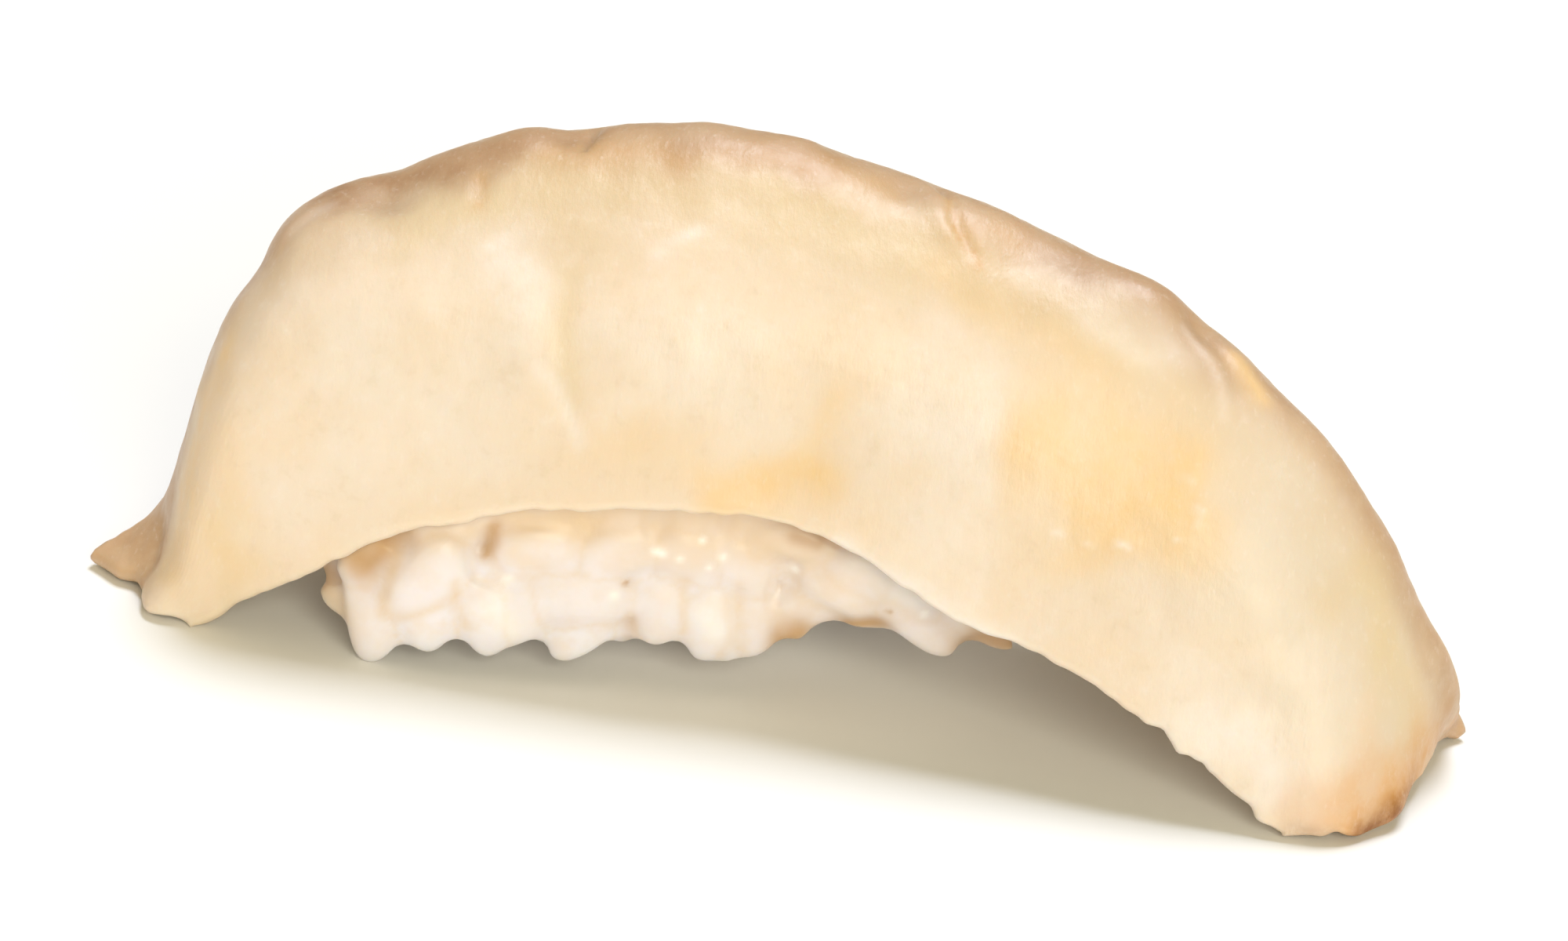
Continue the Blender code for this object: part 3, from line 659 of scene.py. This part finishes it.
def rim_distance(grid):
    """How far each point of the grid is from the slice's rim, measured along the grid."""
    steps_along = np.linalg.norm(np.diff(grid, axis=0), axis=2)
    steps_across = np.linalg.norm(np.diff(grid, axis=1), axis=2)
    along = np.pad(np.cumsum(steps_along, axis=0), ((1, 0), (0, 0)))
    across = np.pad(np.cumsum(steps_across, axis=1), ((0, 0), (1, 0)))
    return np.minimum(
        np.minimum(along, along[-1:] - along), np.minimum(across, across[:, -1:] - across)
    )


def slice_thickness(distance):
    """Full thickness inside, thinning to the rim in a round shoulder."""
    inward = np.clip(distance / SLICE_SHOULDER, 0, 1)
    shoulder = np.sqrt(1 - (1 - inward) ** 2)
    return SLICE_RIM_THICKNESS + (SLICE_THICKNESS - SLICE_RIM_THICKNESS) * shoulder


def skin_relief(grid):
    """How far the skin stands above the plain one: creases, swellings and a fine unevenness."""
    relief = np.zeros(grid.shape[:2])
    for path, width, height in CREASES:
        distance, along = path_distance(grid, path)
        taper = smooth_step(0, CREASE_TAPER, along) * smooth_step(0, CREASE_TAPER, 1 - along)
        relief += height * taper * np.exp(-((distance / width) ** 2))
    for middle, reach, height in SWELLINGS:
        relief += height * spot(grid, middle, reach)
    for height, length, seed, count, stretch in SKIN_WAVES:
        relief += height * waves(grid * np.array(stretch), length, seed, count)
    return relief


def rim_points(columns, rows):
    """Column and row of every point of the grid's rim, in order around it."""
    rim = [(i, 0) for i in range(columns)]
    rim += [(columns - 1, j) for j in range(1, rows)]
    rim += [(i, rows - 1) for i in range(columns - 2, -1, -1)]
    rim += [(0, j) for j in range(rows - 2, 0, -1)]
    return np.array(rim)


def grid_faces(cell, turned=False):
    """Four-sided faces of a grid of point numbers, turned over where asked."""
    corners = [cell[:-1, :-1], cell[1:, :-1], cell[1:, 1:], cell[:-1, 1:]]
    if turned:
        corners[1], corners[3] = corners[3], corners[1]
    return np.stack(corners, -1).reshape(-1, 4)


def rim_outward(grid, i, j):
    """The way out of the sheet at a point of its rim."""
    columns, rows = grid.shape[:2]
    way = np.zeros(3)
    if i in (0, columns - 1):
        way += grid[i, j] - grid[1 if i == 0 else columns - 2, j]
    if j in (0, rows - 1):
        way += grid[i, j] - grid[i, 1 if j == 0 else rows - 2]
    return way / np.linalg.norm(way)


def closed_sheet(outer, inner):
    """Points and faces of a sheet between two grids, with a round rim."""
    columns, rows = outer.shape[:2]
    count = columns * rows
    rim = rim_points(columns, rows)
    arc = []
    for i, j in rim:
        middle = (outer[i, j] + inner[i, j]) / 2
        half = (outer[i, j] - inner[i, j]) / 2
        out = rim_outward(outer, i, j) * np.linalg.norm(half)
        for k in range(1, RIM_STEPS + 1):
            angle = math.pi / 2 - math.pi * k / (RIM_STEPS + 1)
            arc.append(middle + half * math.sin(angle) + out * math.cos(angle))
    cell = np.arange(count).reshape(columns, rows)
    top = cell[rim[:, 0], rim[:, 1]][:, None]
    arc_index = 2 * count + np.arange(len(arc)).reshape(len(rim), RIM_STEPS)
    strips = np.concatenate([top, arc_index, top + count], axis=1)
    strips = np.concatenate([strips, strips[:1]])
    faces = [grid_faces(cell), grid_faces(cell, turned=True) + count]
    faces.append(grid_faces(strips, turned=True))
    points = np.concatenate([outer.reshape(-1, 3), inner.reshape(-1, 3), np.array(arc)])
    return points, np.concatenate(faces).tolist()


def new_object(name, data):
    """An object of the scene."""
    thing = bpy.data.objects.new(name, data)
    bpy.context.scene.collection.objects.link(thing)
    return thing


def new_mesh(name, points, faces):
    """A mesh object, from points in millimetres."""
    data = bpy.data.meshes.new(name)
    data.from_pydata((points * MM).tolist(), [], faces)
    data.update()
    return new_object(name, data)


def smooth_mesh(name, points, faces, material):
    """A smooth mesh object of one material, from points in millimetres."""
    thing = new_mesh(name, points, faces)
    thing.data.shade_smooth()
    thing.data.materials.append(material)
    return thing


def add_mask(thing, name, values):
    """A number for each point of the mesh, for its material to read."""
    mask = thing.data.attributes.new(name, "FLOAT", "POINT")
    mask.data.foreach_set("value", np.clip(values, 0, 1).astype(np.float32))


def edge_shift(grid):
    """The grid with its rim moved a little along the sheet, so that the cut edge wanders."""
    moved = np.zeros_like(grid)
    for axis in (0, 1):
        for end in (0, -1):
            line = np.take(grid, end, axis=axis)
            out = line - np.take(grid, EDGE_ROW if end == 0 else -1 - EDGE_ROW, axis=axis)
            out /= np.linalg.norm(out, axis=1, keepdims=True)
            wander = np.zeros(len(line))
            for height, length, seed, count in EDGE_WAVES:
                wander += height * waves(line, length, seed + axis + end, count)
            for middle, reach, height in EDGE_BITES:
                wander += height * spot(line, middle, reach)
            distance = np.linalg.norm(grid - np.expand_dims(line, axis), axis=2)
            fade = np.exp(-((distance / EDGE_FADE) ** 2))
            moved += fade[..., None] * np.expand_dims(out * wander[:, None], axis)
    return grid + moved


def above_floor(points):
    """The points, none of them lower than the lowest."""
    return np.maximum(points, (-np.inf, -np.inf, LOWEST))


def pulled(grid):
    """The grid with some places of it pulled aside."""
    moved = np.zeros_like(grid)
    for middle, reach, way in NUDGES:
        moved += spot(grid, middle, reach)[..., None] * np.array(way)
    return grid + moved


def make_slice(material):
    """The slice of meat, and its under side as a sheet that the rice keeps clear of."""
    plain = slice_skin(SLICE_COLUMNS, SLICE_ROWS)
    thickness = slice_thickness(rim_distance(plain))
    skin = pulled(edge_shift(plain))
    normals = grid_normals(skin)
    outer = skin + normals * skin_relief(skin)[..., None]
    inner = skin - normals * thickness[..., None]
    height, length, seed = INNER_WAVES
    inner += normals * height * waves(inner, length, seed)[..., None]
    inner = above_floor(inner)
    points, faces = closed_sheet(above_floor(outer), inner)
    points = above_floor(points)
    thing = smooth_mesh("conch_slice_meat", points, faces, material)
    paint_slice(thing, points, plain)
    return thing, inner


def paint_slice(thing, points, plain):
    """Where each colour of the meat lies."""
    columns, rows = plain.shape[:2]
    count = rows * columns
    rim = rim_points(columns, rows)
    rim_index = (rim[:, 0] * rows + rim[:, 1]).repeat(RIM_STEPS)
    index = np.concatenate([np.arange(count), np.arange(count), rim_index])
    across = np.tile(np.linspace(0, 1, rows), columns)[index]
    along = points[:, 0]
    wandering = wavy(across, points, *BACK_WAVES)
    # Tan skin and painted shade along the top rim, and at both ends.
    tans_and_shades = [
        smooth_step(*RIM_TAN_AND_SHADE_START, wandering),
        smooth_step(*LEFT_END, wavy(along, points, *LEFT_WAVES)),
        smooth_step(*RIGHT_END, wavy(along, points, *RIGHT_WAVES)),
    ]
    add_mask(thing, "tan_and_shade", strongest(tans_and_shades, TAN_AND_SHADE_SHARES))
    # Painted shade on the upper part of the face.
    add_mask(thing, "upper_shade", smooth_step(*UPPER_SHADE_START, wandering))
    cut = smooth_step(*CUT_DEPTH, rim_distance(plain).reshape(-1)[index])
    cut = np.where(np.arange(len(points)) < 2 * count, cut, 1)
    cut *= smooth_step(*CUT_LEFT, along) * smooth_step(*CUT_RIGHT, along)
    add_mask(thing, "cut", cut * smooth_step(*CUT_START, across))
    add_mask(thing, "across", across)
    for name, patches in COLOUR_PATCHES.items():
        add_mask(thing, name, patched(points, patches))


def closed_stack(rings, ends):
    """Points and faces of a stack of rings, closed by a point at each end."""
    sides = len(rings[0])
    count = len(rings) * sides
    last = count - sides
    faces = []
    for low in range(0, last, sides):
        for k in range(sides):
            n = (k + 1) % sides
            faces.append((low + k, low + n, low + sides + n, low + sides + k))
    for k in range(sides):
        n = (k + 1) % sides
        faces.append((count, n, k))
        faces.append((count + 1, last + k, last + n))
    return np.concatenate([*rings, np.array(ends)]), faces


def grain_shape(length, width, chance):
    """Points and faces of one plump cooked grain, lying along X."""
    belly = chance.uniform(0, GRAIN_BELLY)
    lean = chance.uniform(-GRAIN_LEAN, GRAIN_LEAN)
    notch = chance.choice((-1, 1))
    turn = np.linspace(0, 2 * math.pi, GRAIN_SIDES, endpoint=False)
    c, s = np.cos(turn), np.sin(turn)
    along = -np.cos(np.linspace(0, math.pi, GRAIN_RINGS + 1))
    rings = []
    for t in along[1:-1]:
        girth = (1 - abs(t) ** GRAIN_BLUNTNESS) ** GRAIN_FULLNESS * (1 + lean * t)
        y = np.sign(c) * np.abs(c) ** GRAIN_ROUNDNESS * girth * width * GRAIN_FLATNESS / 2
        z = np.sign(s) * np.abs(s) ** GRAIN_ROUNDNESS * girth * width / 2
        z = z - belly * (t * t - GRAIN_BELLY_REACH) * width
        nick = NICK_DEPTH * math.exp(-(((t * notch - NICK_PLACE) / NICK_REACH) ** 2))
        z = np.where(z > 0, z * (1 - nick), z)
        rings.append(np.stack([np.full_like(y, t * length / 2), y, z], -1))
    return closed_stack(rings, [[t * length / 2, 0, 0] for t in (along[0], along[-1])])


class Rice:
    """All the grains and the pressed inside, gathered for one mesh."""

    def __init__(self):
        self.points = []
        self.faces = []
        self.grains = []
        self.count = 0
        self.chance = random.Random(SHAPE_SEED)

    def add(self, points, faces):
        self.points.append(points)
        self.faces += [tuple(corner + self.count for corner in face) for face in faces]
        self.count += len(points)

    def add_grain(self, place, length, width, turn):
        swell = 2 * GRAIN_SWELL
        points, faces = grain_shape(length + swell, width + swell, self.chance)
        points = points @ np.array(turn).T + np.array(place)
        self.add(points, faces)
        self.grains.append((np.array(place), np.array(turn), length, width))


def rice_ring(level, inset=0):
    """One closed line around the rice, at the height of a level."""
    height, left, right, front, back = level
    ring = []
    for k in range(CORE_SIDES):
        angle = 2 * math.pi * k / CORE_SIDES
        c, s = math.cos(angle), math.sin(angle)
        power = 2 / (RICE_RIGHT_SQUARENESS if c > 0 else RICE_LEFT_SQUARENESS)
        reach_x = (right if c > 0 else left) - inset
        reach_y = (back if s > 0 else front) - inset
        u = math.copysign(abs(c) ** power, c) * reach_x
        v = math.copysign(abs(s) ** power, s) * reach_y
        x = RICE_MIDDLE[0] + u * math.cos(RICE_TURN) - v * math.sin(RICE_TURN)
        y = RICE_MIDDLE[1] + u * math.sin(RICE_TURN) + v * math.cos(RICE_TURN)
        ring.append(Vector((x, y, height)))
    return ring


def rice_ring_at(height, inset=0):
    """The line around the rice at any height."""
    levels = np.array(RICE_LEVELS)
    sizes = [np.interp(height, levels[:, 0], levels[:, k]) for k in range(1, levels.shape[1])]
    return rice_ring((height, *sizes), inset)


def add_core(rice):
    """The pressed inside of the rice, as a stack of rings with a closed top and bottom."""
    heights = np.linspace(CORE_BOTTOM, RICE_LEVELS[-1][0], CORE_STEPS)
    rings = [np.array(rice_ring_at(height, CORE_INSET)) for height in heights]
    middle = np.array([*RICE_MIDDLE, heights[-1]])
    rings += [middle + (rings[-1] - middle) * share for share in CORE_LID]
    points, faces = closed_stack(rings, [[*RICE_MIDDLE, heights[0]], middle])
    height, length, seed = CORE_WAVES
    points += height * waves(points, length, seed)[:, None]
    low = smooth_step(*UNDERCUT_HEIGHT, points[:, 2]) * smooth_step(*UNDERCUT_REACH, points[:, 1])
    points[:, 1] += CORE_UNDERCUT * low
    rice.add(points, faces)


def front_line(x):
    """Y of the middle line of the front grains, which bends back at its left corner."""
    start_x, start_y = FRONT_GRAIN_START
    bend = FRONT_CORNER_BEND * np.maximum(FRONT_CORNER - x, 0) ** 2
    return start_y + FRONT_GRAIN_SLOPE * (x - start_x) + bend


def add_front_grains(rice, grains, depth):
    """Grains along the front, set back by a depth."""
    for x, z, length, width, slant in grains:
        turn = Euler((0, math.radians(slant), math.atan(FRONT_GRAIN_SLOPE))).to_matrix()
        rice.add_grain(Vector((x, front_line(x) + depth, z)), length, width, turn)


def in_open_corner(place):
    """Whether a place is where the rice is open."""
    right_of, in_front_of, under = OPEN_CORNER
    return place.x > right_of and place.y < in_front_of and place.z < under


def runs_along_front(step):
    """Whether a step around the rice runs along its front."""
    return step.x > abs(step.y)


def stops(ring, spacing, chance, passed_by=None):
    """Points of a ring at the given spacing, each with the step to the ring's next point."""
    travelled = chance.uniform(0, spacing)
    for k, point in enumerate(ring):
        step = ring[(k + 1) % len(ring)] - point
        travelled += step.length
        if travelled < spacing or (passed_by and passed_by(point, step)):
            continue
        travelled -= spacing
        yield point, step


def add_skin_grain(rice, point, step, most_slant, slimness, chance, wanted=True):
    """A grain in the rice's skin, where it is wanted and the rice isn't open."""
    slant = chance.uniform(-most_slant, most_slant)
    swerve = chance.uniform(-GRAIN_SWERVE, GRAIN_SWERVE)
    turn = Euler((0, slant, math.atan2(step.y, step.x) + swerve))
    place = point + Vector((0, 0, chance.uniform(-GRAIN_LIFT, GRAIN_LIFT)))
    length = chance.uniform(*GRAIN_LENGTH) * slimness
    width = chance.uniform(*GRAIN_WIDTH) * slimness
    if wanted and not in_open_corner(place):
        rice.add_grain(place, length, width, turn.to_matrix())


def add_side_grains(rice):
    """Rows of grains in the rice's skin, all around but for the stretch of the front grains."""
    chance = random.Random(GRAIN_SEED)
    left, right = FRONT_GRAIN_SPAN

    def at_front(point, step):
        return runs_along_front(step) and left < point.x < right

    for height in GRAIN_ROWS:
        ring = rice_ring_at(height)[:: CORE_SIDES // SIDE_GRAIN_STOPS]
        for point, step in stops(ring, GRAIN_SPACING, chance, at_front):
            add_skin_grain(rice, point, step, GRAIN_SLANT, 1, chance)


def add_fillers(rice):
    """Slimmer grains a little deeper in the skin, which show in the gaps between the others."""
    chance = random.Random(FILLER_SEED)
    for height in FILLER_ROWS:
        ring = rice_ring_at(height, FILLER_INSET)
        for point, step in stops(ring, FILLER_SPACING, chance):
            wanted = height >= FRONT_FILLERS_FROM or not runs_along_front(step)
            add_skin_grain(rice, point, step, FILLER_SLANT, FILLER_SLIMNESS, chance, wanted)


def kept_under(points, under_side):
    """The points, moved where needed to lie under the slice and above the floor."""
    cell = np.arange(under_side[..., 0].size).reshape(under_side.shape[:2])
    faces = grid_faces(cell, turned=True).tolist()
    tree = BVHTree.FromPolygons(under_side.reshape(-1, 3).tolist(), faces)
    kept = points.copy()
    for k, point in enumerate(points):
        place, normal, _, distance = tree.find_nearest(point)
        depth = (Vector(point) - place).dot(normal)
        beside_rim = abs(depth) < BESIDE_RIM * distance
        if depth < RICE_CLEARANCE and not beside_rim:
            kept[k] = place + normal * RICE_CLEARANCE
    return above_floor(kept)


def fused(rice):
    """Points and faces of the grains grown together, with the gaps between them closed."""
    thing = new_mesh("loose_grains", np.concatenate(rice.points), rice.faces)
    remesh = thing.modifiers.new("fuse", "REMESH")
    remesh.mode = "VOXEL"
    remesh.voxel_size = FUSE_VOXEL * MM
    smooth = thing.modifiers.new("soften", "SMOOTH")
    smooth.iterations = FUSE_SMOOTHING
    whole = thing.evaluated_get(bpy.context.evaluated_depsgraph_get()).to_mesh()
    points = np.zeros(len(whole.vertices) * 3)
    whole.vertices.foreach_get("co", points)
    normals = np.zeros(len(whole.vertices) * 3)
    whole.vertex_normals.foreach_get("vector", normals)
    faces = [tuple(face.vertices) for face in whole.polygons]
    bpy.data.objects.remove(thing)
    points = points.reshape(-1, 3) / MM - normals.reshape(-1, 3) * GRAIN_SWELL
    return relaxed(points, faces), faces


def relaxed(points, faces):
    """The points, each moved a few times half way to the middle of its neighbours."""
    starts = np.concatenate(faces)
    ends = np.concatenate([face[1:] + face[:1] for face in faces])
    share = np.bincount(starts, minlength=len(points)) + np.bincount(ends, minlength=len(points))
    for _ in range(RELAXING_STEPS):
        total = np.zeros_like(points)
        for axis in range(3):
            total[:, axis] = np.bincount(starts, points[ends, axis], len(points))
            total[:, axis] += np.bincount(ends, points[starts, axis], len(points))
        points = (points + total / share[:, None]) / 2
    return points


def make_rice(material, under_side):
    """The block of rice: its pressed inside, the grains of its skin, and fillers between."""
    rice = Rice()
    add_front_grains(rice, FRONT_GRAINS, 0)
    add_front_grains(rice, BACKING_GRAINS, BACKING_DEPTH)
    add_front_grains(rice, FORWARD_GRAINS, FORWARD_DEPTH)
    add_side_grains(rice)
    add_fillers(rice)
    add_core(rice)
    points, faces = fused(rice)
    for middle, reach, depth in RICE_GAPS:
        points[:, 1] += depth * spot(points, middle, reach)
    forward = np.minimum(points[:, 1] - front_line(points[:, 0]), 0)
    points[:, 1] -= forward * smooth_step(*FLAT_FRONT, points[:, 0]) * (1 - FRONT_FLATNESS)
    points = kept_under(points, under_side)
    thing = smooth_mesh("rice_grains", points, faces, material)
    # Each grain's tone, and the seams between grains, which get painted shade.
    tone, seam_shade = grain_tones(points, rice.grains)
    add_mask(thing, "tone", tone)
    add_mask(thing, "seam_shade", seam_shade)
    for name, patches in RICE_PATCHES.items():
        add_mask(thing, name, patched(points, patches, RICE_DEPTH_SHARE))
    add_mask(thing, "shade", rice_shade(points))
    return thing


def grain_tones(points, grains):
    """The tone of the grain that each point belongs to, and how near it is to the next grain, which
    gives the painted shade along the seams.
    """
    chance = np.random.default_rng(GRAIN_SEED)
    tones = chance.uniform(0, 1, len(grains))
    first = np.full(len(points), np.inf)
    second = np.full(len(points), np.inf)
    tone = np.zeros(len(points))
    for (place, turn, length, width), own in zip(grains, tones):
        local = (points - place) @ turn
        half = (length - width) / 2
        local[:, 0] -= np.clip(local[:, 0], -half, half)
        distance = np.linalg.norm(local, axis=1) - width / 2
        nearer = distance < first
        second = np.where(nearer, first, np.minimum(second, distance))
        first = np.where(nearer, distance, first)
        tone = np.where(nearer, own, tone)
    return tone, smooth_step(SEAM_SHADE_WIDTH, 0, second - first)


def rice_shade(points):
    """How tan the rice is away from its front: towards its top and at both ends."""
    shades = [
        smooth_step(*HIGH_RICE, wavy(points[:, 2], points, *HIGH_WAVES)),
        smooth_step(*RIGHT_RICE, points[:, 0]),
        smooth_step(*LEFT_RICE, points[:, 0]),
    ]
    return strongest(shades, RICE_SHADES)


class Painter:
    """Builds the nodes of one material."""

    def __init__(self, name):
        self.material = bpy.data.materials.new(name)
        self.material.use_nodes = True
        self.tree = self.material.node_tree
        self.shader = self.tree.nodes["Principled BSDF"]
        self.place = self.tree.nodes.new("ShaderNodeTexCoord").outputs["Object"]

    def link(self, source, target):
        self.tree.links.new(source, target)

    def shaded(self, linked, plain):
        """Gives the shader its linked sockets and its plain ones."""
        for socket, source in linked.items():
            self.link(source, self.shader.inputs[socket])
        for socket, value in plain.items():
            self.shader.inputs[socket].default_value = value

    def noise(self, size, detail=3, stretch=(1, 1, 1), roughness=0.5):
        """A noise between 0 and 1, whose blotches are about size millimetres across."""
        node = self.tree.nodes.new("ShaderNodeTexNoise")
        node.inputs["Scale"].default_value = 1 / (size * MM)
        node.inputs["Detail"].default_value = detail
        node.inputs["Roughness"].default_value = roughness
        place = self.place
        if stretch != (1, 1, 1):
            mapping = self.tree.nodes.new("ShaderNodeMapping")
            mapping.inputs["Scale"].default_value = stretch
            self.link(place, mapping.inputs["Vector"])
            place = mapping.outputs["Vector"]
        self.link(place, node.inputs["Vector"])
        return node.outputs["Fac"]

    def ranged(self, value, low, high, to_low, to_high):
        """The value, moved smoothly from one range to another and kept within it."""
        node = self.tree.nodes.new("ShaderNodeMapRange")
        node.interpolation_type = "SMOOTHSTEP"
        self.link(value, node.inputs["Value"])
        ends = {"From Min": low, "From Max": high, "To Min": to_low, "To Max": to_high}
        for socket, end in ends.items():
            node.inputs[socket].default_value = end
        return node.outputs["Result"]

    def mask(self, name):
        node = self.tree.nodes.new("ShaderNodeAttribute")
        node.attribute_name = name
        return node.outputs["Fac"]

    def maths(self, operation, first, second=0.0):
        node = self.tree.nodes.new("ShaderNodeMath")
        node.operation = operation
        for socket, value in zip(node.inputs, (first, second)):
            if isinstance(value, (int, float)):
                socket.default_value = value
            else:
                self.link(value, socket)
        return node.outputs["Value"]

    def mixed(self, share, first, second):
        node = self.tree.nodes.new("ShaderNodeMix")
        node.data_type = "RGBA"
        self.link(share, node.inputs["Factor"])
        for name, value in (("A", first), ("B", second)):
            socket = next(s for s in node.inputs if s.name == name and s.type == "RGBA")
            if isinstance(value, tuple):
                socket.default_value = (*value, 1)
            else:
                self.link(value, socket)
        return next(s for s in node.outputs if s.type == "RGBA")

    def bumped(self, height, strength, distance, normal=None):
        node = self.tree.nodes.new("ShaderNodeBump")
        node.inputs["Strength"].default_value = strength
        node.inputs["Distance"].default_value = distance * MM
        self.link(height, node.inputs["Height"])
        if normal is not None:
            self.link(normal, node.inputs["Normal"])
        return node.outputs["Normal"]


def meat_material():
    """Wet, slightly clear meat: cream, with tan skin, orange and yellow parts and a brown tip,
    painted shade on its upper face, top rim and creases, and painted highlights.
    """
    paint = Painter("conch_meat_look")
    blotches = paint.noise(7, 4)
    specks = paint.noise(1.3, 5, roughness=0.65)
    fine = paint.noise(0.5, 4, stretch=(1.5, 1.0, 0.7), roughness=0.6)
    fibres = paint.noise(1.1, 4, stretch=(1.7, 0.8, 0.45), roughness=0.6)
    colour = paint.mixed(paint.ranged(blotches, 0.35, 0.65, 0, 1), CREAM, WARM_CREAM)
    # Painted shade on the upper face.
    colour = paint.mixed(paint.mask("upper_shade"), colour, SHADE_AND_CUT_CREAM)
    colour = paint.mixed(paint.ranged(specks, 0.52, 0.8, 0, 0.35), colour, PALE_AND_HIGHLIGHT)
    colour = paint.mixed(paint.ranged(specks, 0.48, 0.25, 0, 0.35), colour, SHADE_AND_CUT_CREAM)
    broken = paint.ranged(specks, 0.3, 0.7, 0.8, 1.12)
    # The tints, among them painted shade and painted highlights.
    for name, tint in MEAT_TINTS.items():
        share = paint.maths("MULTIPLY", paint.mask(name), broken)
        colour = paint.mixed(paint.maths("MINIMUM", share, 1), colour, tint)
    broad = paint.ranged(paint.noise(5, 3, stretch=(0.6, 1, 1)), 0.35, 0.65, 0, 1)
    behind = paint.ranged(paint.mask("across"), 0.5, 0.62, 0, 0.55)
    colour = paint.mixed(paint.maths("MULTIPLY", behind, broad), colour, BACK_TAN)
    colour = paint.mixed(paint.mask("cut"), colour, SHADE_AND_CUT_CREAM)
    # Brown skin at the tip, and painted shade at the top left rim.
    brown_and_shade_share = paint.maths("MULTIPLY", paint.mask("brown_and_shade"), paint.ranged(specks, 0.3, 0.65, 0.55, 1))
    colour = paint.mixed(brown_and_shade_share, colour, BROWN)
    colour = paint.mixed(paint.ranged(fine, 0.55, 0.8, 0, 0.22), colour, PALE_AND_HIGHLIGHT)
    swerve = paint.maths("MULTIPLY", paint.noise(4, 3), RIPPLE_SWERVE)
    turns = paint.maths("MULTIPLY", paint.mask("across"), 2 * math.pi * RIPPLES)
    ripple = paint.maths("SINE", paint.maths("ADD", turns, swerve))
    ripple = paint.maths("MULTIPLY", ripple, paint.ranged(blotches, 0.42, 0.62, 0.15, 1))
    ripple = paint.maths("MULTIPLY", ripple, paint.ranged(paint.mask("upper_shade"), 0, 1, 1, 0.25))
    normal = paint.bumped(paint.noise(3.4, 2), 0.4, 0.30)
    normal = paint.bumped(ripple, 0.2, 0.018, normal)
    normal = paint.bumped(fibres, 0.4, 0.11, normal)
    normal = paint.bumped(fine, 0.5, 0.06, normal)
    roughness = paint.ranged(specks, 0.3, 0.75, 0.36, 0.5)
    paint.shaded({"Base Color": colour, "Roughness": roughness, "Normal": normal}, MEAT_SHADER)
    return paint.material


def rice_material():
    """Cooked rice: white, cloudy and moist, with painted shade in tan and brown under the slice,
    along the seams, in gaps and at its ends, and painted highlights.
    """
    paint = Painter("cooked_rice_look")
    cloud = paint.noise(1.5, 3)
    colour = paint.mixed(paint.ranged(cloud, 0.35, 0.7, 0, 1), RICE_WHITE, RICE_CLEAR)
    colour = paint.mixed(paint.maths("MULTIPLY", paint.mask("tone"), 0.6), colour, RICE_CLEAR)
    # Painted shade: towards the top, under the slice, at the ends, and along the seams between
    # grains.
    colour = paint.mixed(paint.mask("shade"), colour, RICE_SHADE_TAN)
    colour = paint.mixed(paint.maths("MULTIPLY", paint.mask("seam_shade"), 0.22), colour, RICE_SHADE_TAN)
    # Painted shade in tan and brown, and painted highlights.
    for name, tint in RICE_TINTS.items():
        colour = paint.mixed(paint.mask(name), colour, tint)
    normal = paint.bumped(paint.noise(1.2, 3), 0.4, 0.12)
    normal = paint.bumped(paint.noise(0.35, 3), 0.3, 0.03, normal)
    roughness = paint.ranged(cloud, 0.3, 0.7, 0.3, 0.45)
    paint.shaded({"Base Color": colour, "Roughness": roughness, "Normal": normal}, RICE_SHADER)
    return paint.material


def floor_material():
    """A smooth white sheet with a trace of unevenness."""
    paint = Painter("pale_floor_look")
    colour = paint.mixed(paint.noise(60, 2), FLOOR_WHITE, FLOOR_DIM)
    paint.shaded({"Base Color": colour}, FLOOR_SHADER)
    return paint.material


def make_floor():
    """The sheet that the piece lies on."""
    half = FLOOR_SIZE / 2
    points = np.array([(-half, -half, 0), (half, -half, 0), (half, half, 0), (-half, half, 0)])
    return smooth_mesh("floor", points, [(0, 1, 2, 3)], floor_material())


def add_sun(name, azimuth, elevation, spread, strength, colour):
    """A soft distant light. Azimuth runs anticlockwise from the front, seen from above."""
    sun = bpy.data.lights.new(name, "SUN")
    sun.energy = strength
    sun.color = colour
    sun.angle = math.radians(spread)
    a, e = math.radians(azimuth), math.radians(elevation)
    back = Vector((math.sin(a) * math.cos(e), -math.cos(a) * math.cos(e), math.sin(e)))
    new_object(name, sun).rotation_euler = back.to_track_quat("Z", "Y").to_euler()


def light_the_scene():
    """Soft studio light: a dim warm surround and the suns."""
    world = bpy.data.worlds.new("studio")
    bpy.context.scene.world = world
    world.use_nodes = True
    background = world.node_tree.nodes["Background"]
    background.inputs["Color"].default_value = (*WORLD_COLOUR, 1)
    background.inputs["Strength"].default_value = WORLD_STRENGTH
    for light in SUNS:
        add_sun(*light)
    bpy.context.scene.view_settings.view_transform = "Standard"


def add_camera():
    """The camera, in front of the piece and above it, rolled a little."""
    camera = bpy.data.cameras.new("camera")
    camera.sensor_width = SENSOR_WIDTH
    camera.lens = SENSOR_WIDTH * CAMERA_DISTANCE * PIXELS_PER_MM / FRAME_WIDTH
    camera.clip_start = CLIP_START
    thing = new_object("camera", camera)
    back = Vector((0, -math.cos(CAMERA_ELEVATION), math.sin(CAMERA_ELEVATION)))
    place = (CAMERA_TARGET + back * CAMERA_DISTANCE) * MM
    turn = (-back).to_track_quat("-Z", "Y").to_matrix().to_4x4()
    thing.matrix_world = Matrix.Translation(place) @ turn @ Matrix.Rotation(CAMERA_ROLL, 4, "Z")
    bpy.context.scene.camera = thing


def main():
    add_camera()
    light_the_scene()
    floor = make_floor()
    meat, under_side = make_slice(meat_material())
    rice = make_rice(rice_material(), under_side)
    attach(meat, "root")
    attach(rice, "root")
    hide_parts("conch_slice")
    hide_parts("rice_block")


main()
